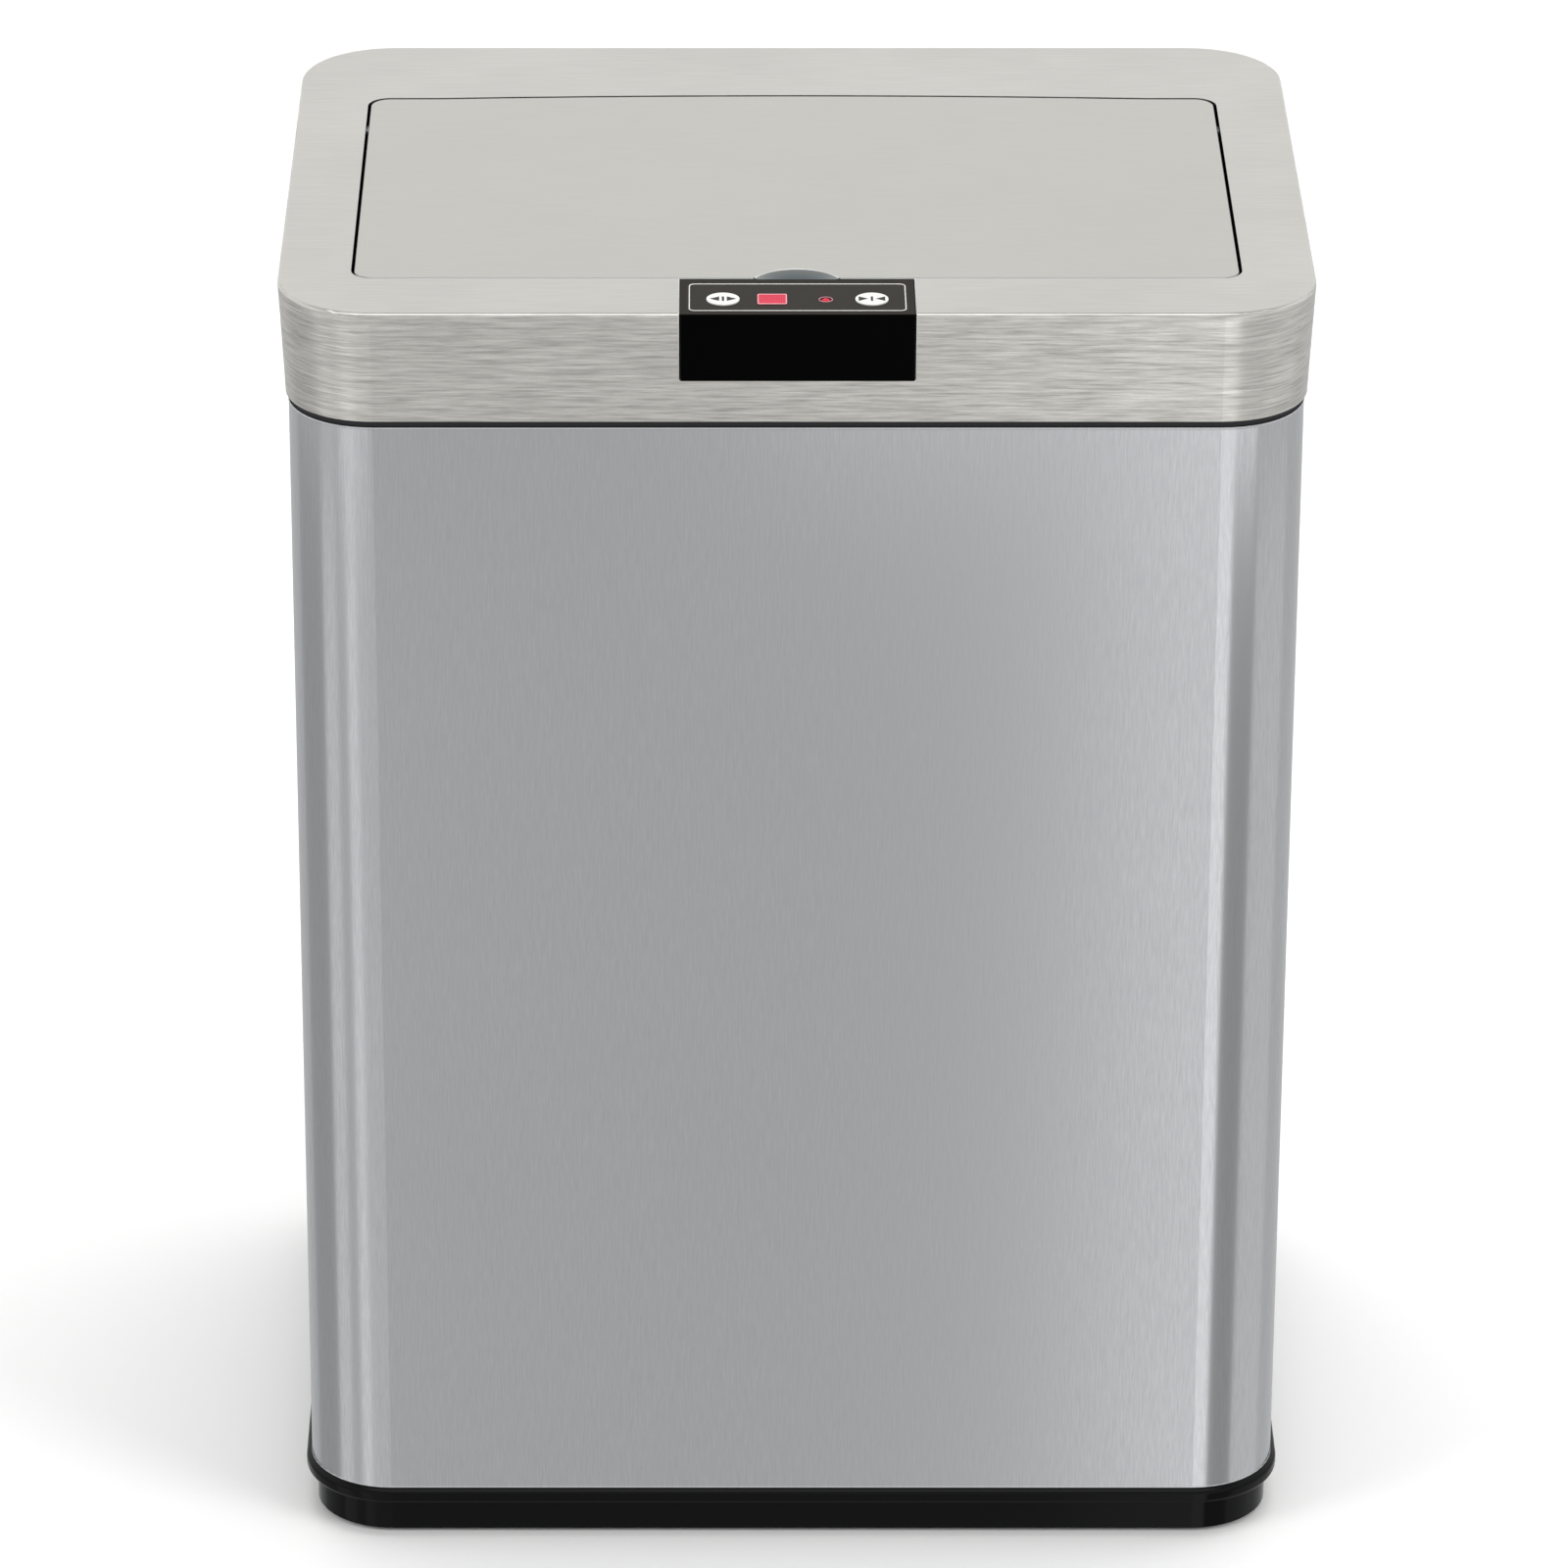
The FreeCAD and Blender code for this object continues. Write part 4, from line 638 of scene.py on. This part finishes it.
dress(sensor_black("gloss_black_abs"), "sensor_housing")
printed_film = moulded_plastic("printed_film", "#25221f", "#2e2b27", 0.5, 0.9, depth=0.06, shine=0.06)
dress(printed_film, "control_label")
white_cap = moulded_plastic("white_button_plastic", "#c9c9c7", "#d4d4d2", 0.4, 1.2, depth=0.05)
dress(white_cap, "open_button", "close_button")
# The red window gives off a faint glow: painted light, as the window is no lamp.
dress(clear_red("red_window_plastic", "#ad2338", "#c0364c", 0.9, 0.06), "sensor_window")
dress(clear_red("red_light_plastic", "#ad2436", "#c93a4c", 0.5, 0.1), "status_light")
dress(circuit_board(), "control_board")
dress(moulded_plastic("switch_nylon", "#17181a", "#222326", 0.45, 0.8), "tact_switches")
smoked_lens = moulded_plastic("smoked_epoxy_lens", "#120a14", "#1c1120", 0.12, 1.5, depth=0.02)
dress(smoked_lens, "infrared_pair")
dress(zinc, "sensor_screws")
screw_low, screw_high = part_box("sensor_screws")
screw_x, screw_y = screw_high[0] - screw_head, (screw_low[1] + screw_high[1]) / 2
cross_marks("sensor_screw_recesses", [(x * screw_x, screw_y, screw_low[2]) for x in (-1, 1)],
            "head", (0, 0, -1))

film_low, film_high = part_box("control_label")
border_ink = moulded_plastic("pale_border_ink", "#d2d0cb", "#dcdad5", 0.5, 1.0, depth=0.03)
film_middle = (0, (film_low[1] + film_high[1]) / 2)
film_deep = (film_high[1] - film_low[1]) / 2
inset = 1.0 * MM
border = rounded_path(film_high[0] - inset, film_deep - inset, 2.2 * MM, film_high[2], film_middle)
grown("film_border_line", border, swept_bead, "head", "label_grey", border_ink, smooth=True,
      path="closed", Bead_Radius=0.22 * MM, Bead_Sides=8)
window_low, window_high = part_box("sensor_window")
window_middle = middle_of(window_low, window_high, 0, 1)
window_half = [(window_high[axis] - window_low[axis]) / 2 - 0.1 * MM for axis in (0, 1)]
window_ink = moulded_plastic("pale_red_window_edge", "#d88f98", "#e2a0a8", 0.45, 1.0, depth=0.03)
window_edge = rounded_path(*window_half, 0.5 * MM, window_high[2], window_middle)
grown("window_edge_line", window_edge, swept_bead, "head", "red_window", window_ink, smooth=True,
      path="closed", Bead_Radius=0.26 * MM, Bead_Sides=8)
light_low, light_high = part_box("status_light")
light_x, light_y = middle_of(light_low, light_high, 0, 1)
ring_ink = moulded_plastic("dull_light_ring", "#9a7078", "#a87f86", 0.5, 1.0, depth=0.03)
ring_radius = 2.6 * MM
turns = [step * math.pi / 16 for step in range(32)]
ring = [(light_x + ring_radius * math.cos(turn), light_y + ring_radius * math.sin(turn), film_high[2])
        for turn in turns]
grown("light_ring", ring, swept_bead, "head", "red_light", ring_ink, smooth=True, path="closed",
      Bead_Radius=0.24 * MM, Bead_Sides=8)


def cap_symbol(name, node, outward):
    """Two arrowheads and a bar printed on a button: apart to open, together to close.  In mm."""
    low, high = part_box(node)
    x, y = middle_of(low, high, 0, 1)
    level = high[2]
    bar, tall = 0.45, 2.3
    outlines = [[(-bar, -tall), (bar, -tall), (bar, tall), (-bar, tall)]]
    for side in (-1, 1):
        near, far = (1.5, 5.2) if outward else (5.2, 1.5)
        arrow = [(side * near, -tall), (side * far, 0.0), (side * near, tall)]
        outlines.append(arrow if (side > 0) == outward else arrow[::-1])
    work = bmesh.new()
    for outline in outlines:
        ground = [work.verts.new((x + a * MM, y + b * MM, level - 0.02 * MM)) for a, b in outline]
        raised = [work.verts.new((x + a * MM, y + b * MM, level + 0.05 * MM)) for a, b in outline]
        work.faces.new(raised)
        work.faces.new(ground[::-1])
        for i in range(len(outline)):
            j = (i + 1) % len(outline)
            work.faces.new((ground[i], ground[j], raised[j], raised[i]))
    bmesh.ops.recalc_face_normals(work, faces=work.faces)
    return bmesh_piece(name, work)


symbol_ink = moulded_plastic("black_symbol_ink", "#0c0c0d", "#151516", 0.5, 0.8, depth=0.03)
ride(cap_symbol("open_symbol", "open_button", True), "open_button", symbol_ink)
ride(cap_symbol("close_symbol", "close_button", False), "close_button", symbol_ink)


# ---- Lid ----
# The lid is a brushed stainless panel folded over a moulded black liner; a dish pressed in its
# front edge takes a thumb.  It turns on plated steel pins.

lid_low, lid_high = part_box("lid_skin")
# Painted shade: the thumb dish and the lid's folded sides, below its top, are painted dark grey-blue.
steel_lid = brushed_steel("brushed_steel_lid", "#cac8c2", "#d4d2cc", (26, 26, 0.9), (26, 0.9, 0.9),
                          roughness=0.33, depth=0.12, calm_top=0.6, dish_shade=(lid_high[2], "#78838a"))
dress(steel_lid, "lid_skin")
dress(matt_black, "lid_liner", "front_rails")
dress(zinc, "lid_pins")
notch_wide, notch_deep = 33.6 * MM, 10 * MM
notch_radius = ((notch_wide / 2) ** 2 + notch_deep ** 2) / (2 * notch_deep)
notch_turn = math.acos(notch_wide / 2 / notch_radius)
notch_lip, lip_steps = [], 32
for step in range(lip_steps + 1):
    angle = notch_turn + (math.pi - 2 * notch_turn) * step / lip_steps
    notch_lip.append((notch_radius * math.cos(angle),
                      lid_low[1] + notch_deep + notch_radius * (math.sin(angle) - 1),
                      lid_high[2] - 0.2 * MM))
# The dish's lip is a thin bead in the bright steel: the edge with a painted highlight on it.
grown("thumb_notch_lip", notch_lip, swept_bead, "lid", "brushed_steel", edge_highlight_steel, smooth=True,
      path="open", Bead_Radius=0.42 * MM, Bead_Sides=8)
under = lid_high[2] - 6.0 * MM
grown("liner_stiffening_ribs", [(0, -92 * MM, under), (0, 62 * MM, under)], bars_along_line, "lid",
      "matte_black", matt_black, path="open", Bar_Count=5, Bar_Size=(1.6 * MM, 300 * MM, 1.4 * MM))
marks = [(x * MM, y * MM, under) for x in (-130, -65, 0, 65, 130) for y in (-72, 4)]
grown("liner_ejector_marks", marks, round_studs, "lid", "matte_black", matt_black,
      Stud_Radius=3.2 * MM, Stud_Height=0.3 * MM, Facing=(0, 0, -1))


# ---- Drive ----
# Acetal gears, cut white, run between two plates on ground steel axles; a brass pinion is pressed
# on the shaft of a small motor in a drawn steel can.

acetal = moulded_plastic("white_acetal", "#d9d9d3", "#e6e6e1", 0.36, 1.4, depth=0.04)
case_abs = moulded_plastic("ivory_gearbox_abs", "#c9c8c0", "#d5d4cd", 0.48, 1.0, depth=0.08)
dress(acetal, "sector_gear", "first_gear", "second_gear")
dress(case_abs, "gearbox_case", "gearbox_cover")
dress(plated_steel("ground_steel_axle", "#b9bcbf", "#d8dadc", 0.22, 1.2), "gear_axles")
dress(plated_steel("turned_brass", "#b08d3c", "#d1ad5b", 0.26, 0.5), "motor_pinion")
dress(plated_steel("nickel_motor_can", "#a5a8aa", "#c2c5c7", 0.24, 2.0), "drive_motor")
dress(zinc, "gearbox_screws")
screw_low, screw_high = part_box("gearbox_screws")
cross_marks("gearbox_screw_recesses",
            [(screw_high[0], y, screw_high[2] - screw_head)
             for y in (screw_low[1] + screw_head, screw_high[1] - screw_head)],
            "head", (1, 0, 0))
can_low, can_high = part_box("drive_motor")
can_y, can_z = middle_of(can_low, can_high, 1, 2)
end_nylon = moulded_plastic("motor_end_nylon", "#1d1e20", "#292a2d", 0.45, 0.9)
grown("motor_end_cap", [(can_low[0] - 0.5 * MM, can_y, can_z)], round_studs, "head", "plated_steel",
      end_nylon, Stud_Radius=5.2 * MM, Stud_Height=1.2 * MM, Facing=(1, 0, 0))


# ---- Batteries and their door ----
# Four large cells lie in a row in a black moulded tray, between nickel-plated contacts; the door
# over them hangs from a steel rod and has ribs for a fingertip.

def cell_sleeve(first, length):
    """Battery cells in a row: a dark shrink sleeve, a copper-coloured band and a bare steel tip.

    first is where the row starts, and length is that of one cell.
    """
    material, tree, output = new_material("cell_shrink_sleeve")
    place = add(tree, "ShaderNodeTexCoord").outputs["Object"]
    along = add(tree, "ShaderNodeSeparateXYZ", {0: place}).outputs["X"]
    shift = add(tree, "ShaderNodeMath", {0: along, 1: first}, operation="SUBTRACT")
    cells = add(tree, "ShaderNodeMath", {0: shift.outputs[0], 1: length}, operation="DIVIDE")
    part = add(tree, "ShaderNodeMath", {0: cells.outputs[0]}, operation="FRACT")
    bands = add(tree, "ShaderNodeValToRGB", {"Fac": part.outputs[0]})
    bands.color_ramp.interpolation = "CONSTANT"
    stops = ((0.0, "#b9bcbe"), (0.012, "#191b1f"), (0.7, "#b5702f"), (0.955, "#c6c8ca"))
    for index, (position, code) in enumerate(stops):
        stop = bands.color_ramp.elements[index] if index < 2 else bands.color_ramp.elements.new(position)
        stop.position = position
        stop.color = linear(code)
    film = add(tree, "ShaderNodeTexNoise", {"Vector": place, "Scale": 1 / (3 * MM)})
    rough = add(tree, "ShaderNodeMapRange", {"Value": film.outputs[0], "To Min": 0.22, "To Max": 0.36})
    shader = add(tree, "ShaderNodeBsdfPrincipled", {
        "Base Color": bands.outputs[0], "Roughness": rough.outputs[0], "Metallic": 0.3})
    tree.links.new(shader.outputs[0], output.inputs[0])
    return material


def coil_tree():
    """Winds a conical contact spring at every point, its tip towards the middle of the row."""
    tree, given = new_tree("contact_coils", {
        "Coil Radius": "NodeSocketFloat", "Tip Radius": "NodeSocketFloat",
        "Coil Height": "NodeSocketFloat", "Coil Turns": "NodeSocketFloat",
        "Wire Radius": "NodeSocketFloat"})
    winding = add(tree, "GeometryNodeCurveSpiral", {
        "Resolution": 28, "Rotations": given["Coil Turns"], "Start Radius": given["Coil Radius"],
        "End Radius": given["Tip Radius"], "Height": given["Coil Height"]})
    wire = add(tree, "GeometryNodeCurvePrimitiveCircle", {
        "Resolution": 8, "Radius": given["Wire Radius"]}, mode="RADIUS")
    coil = add(tree, "GeometryNodeCurveToMesh", {
        "Curve": winding.outputs[0], "Profile Curve": wire.outputs[0], "Fill Caps": True})
    here = tree.nodes.new("GeometryNodeInputPosition")
    inward = add(tree, "ShaderNodeVectorMath", {0: here.outputs[0], 1: (-1, 0, 0)}, operation="MULTIPLY")
    turn = add(tree, "FunctionNodeAlignRotationToVector", {"Vector": inward.outputs[0]}, axis="Z")
    placed = add(tree, "GeometryNodeInstanceOnPoints", {
        "Points": given["Geometry"], "Instance": coil.outputs[0], "Rotation": turn.outputs[0]})
    close_tree(tree, placed.outputs[0], given)
    return tree


cell_low, cell_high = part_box("battery_cells")
dress(matt_black, "battery_box", "battery_door")
cell_count = 4
dress(cell_sleeve(cell_low[0], (cell_high[0] - cell_low[0]) / cell_count), "battery_cells")
dress(zinc, "door_rod")
nickel = plated_steel("nickel_plated_contact", "#b3b2ac", "#d3d2cb", 0.25, 0.8)
contact_low, contact_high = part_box("battery_contacts")
contact_y, contact_z = middle_of(contact_low, contact_high, 1, 2)
contact_plates = mesh_piece("contact_plates", [], [])
work = bmesh.new()
for side in (-1, 1):
    outer, inner = side * contact_high[0], side * (contact_high[0] - 0.5 * MM)
    corners = [work.verts.new((x, y, z)) for x in sorted((outer, inner))
               for y in (contact_low[1], contact_high[1]) for z in (contact_low[2], contact_high[2])]
    bmesh.ops.convex_hull(work, input=corners)
bmesh.ops.bevel(work, geom=work.edges[:], offset=0.15 * MM, segments=2, affect="EDGES")
bmesh.ops.recalc_face_normals(work, faces=work.faces)
work.to_mesh(contact_plates.data)
work.free()
ride(contact_plates, "head", nickel)
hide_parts("battery_contacts")
spring_x = contact_high[0] - 0.6 * MM
grown("contact_springs", [(side * spring_x, contact_y, contact_z) for side in (-1, 1)], coil_tree(),
      "head", "plated_steel", nickel, smooth=True, Coil_Radius=6.5 * MM, Tip_Radius=3.6 * MM,
      Coil_Height=3.2 * MM, Coil_Turns=2.6, Wire_Radius=0.35 * MM)
door_low, door_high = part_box("battery_door")
grip_line = [(0, door_high[1], door_low[2] + 4.5 * MM), (0, door_high[1], door_low[2] + 14.5 * MM)]
grown("door_grip_ribs", grip_line, bars_along_line, "battery_door", "matte_black", matt_black,
      path="open", Bar_Count=6, Bar_Size=(0.8 * MM, 0.8 * MM, 31 * MM))


# ---- Power jack and switch ----
# A black nylon jack takes a mains adapter's plug on one side of the door; a rocker switch with
# moulded on and off marks is on the other.

nylon = moulded_plastic("black_nylon", "#101012", "#1a1a1d", 0.34, 1.2, shine=0.4)
dress(nylon, "power_jack", "switch_body", "power_rocker")
rocker_low, rocker_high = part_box("power_rocker")
rocker_x, rocker_z = middle_of(rocker_low, rocker_high, 0, 2)
mark_white = moulded_plastic("white_switch_mark", "#d8d8d6", "#e4e4e2", 0.45, 1.0, depth=0.03)
mark = bevelled_block(
    "rocker_on_mark", (rocker_x - 0.25 * MM, rocker_high[1] - 0.3 * MM, rocker_z + 1.5 * MM),
    (rocker_x + 0.25 * MM, rocker_high[1] + 0.06 * MM, rocker_z + 3.7 * MM), 0.05 * MM)
ride(mark, "power_rocker", mark_white)
off_radius, off_z = 1.1 * MM, rocker_z - 2.5 * MM
turns = [step * math.pi / 12 for step in range(24)]
circle = [(rocker_x + off_radius * math.cos(turn), rocker_high[1] - 0.1 * MM,
           off_z + off_radius * math.sin(turn)) for turn in turns]
grown("rocker_off_mark", circle, swept_bead, "power_rocker", "matte_black", mark_white, smooth=True,
      path="closed", Bead_Radius=0.22 * MM, Bead_Sides=8)
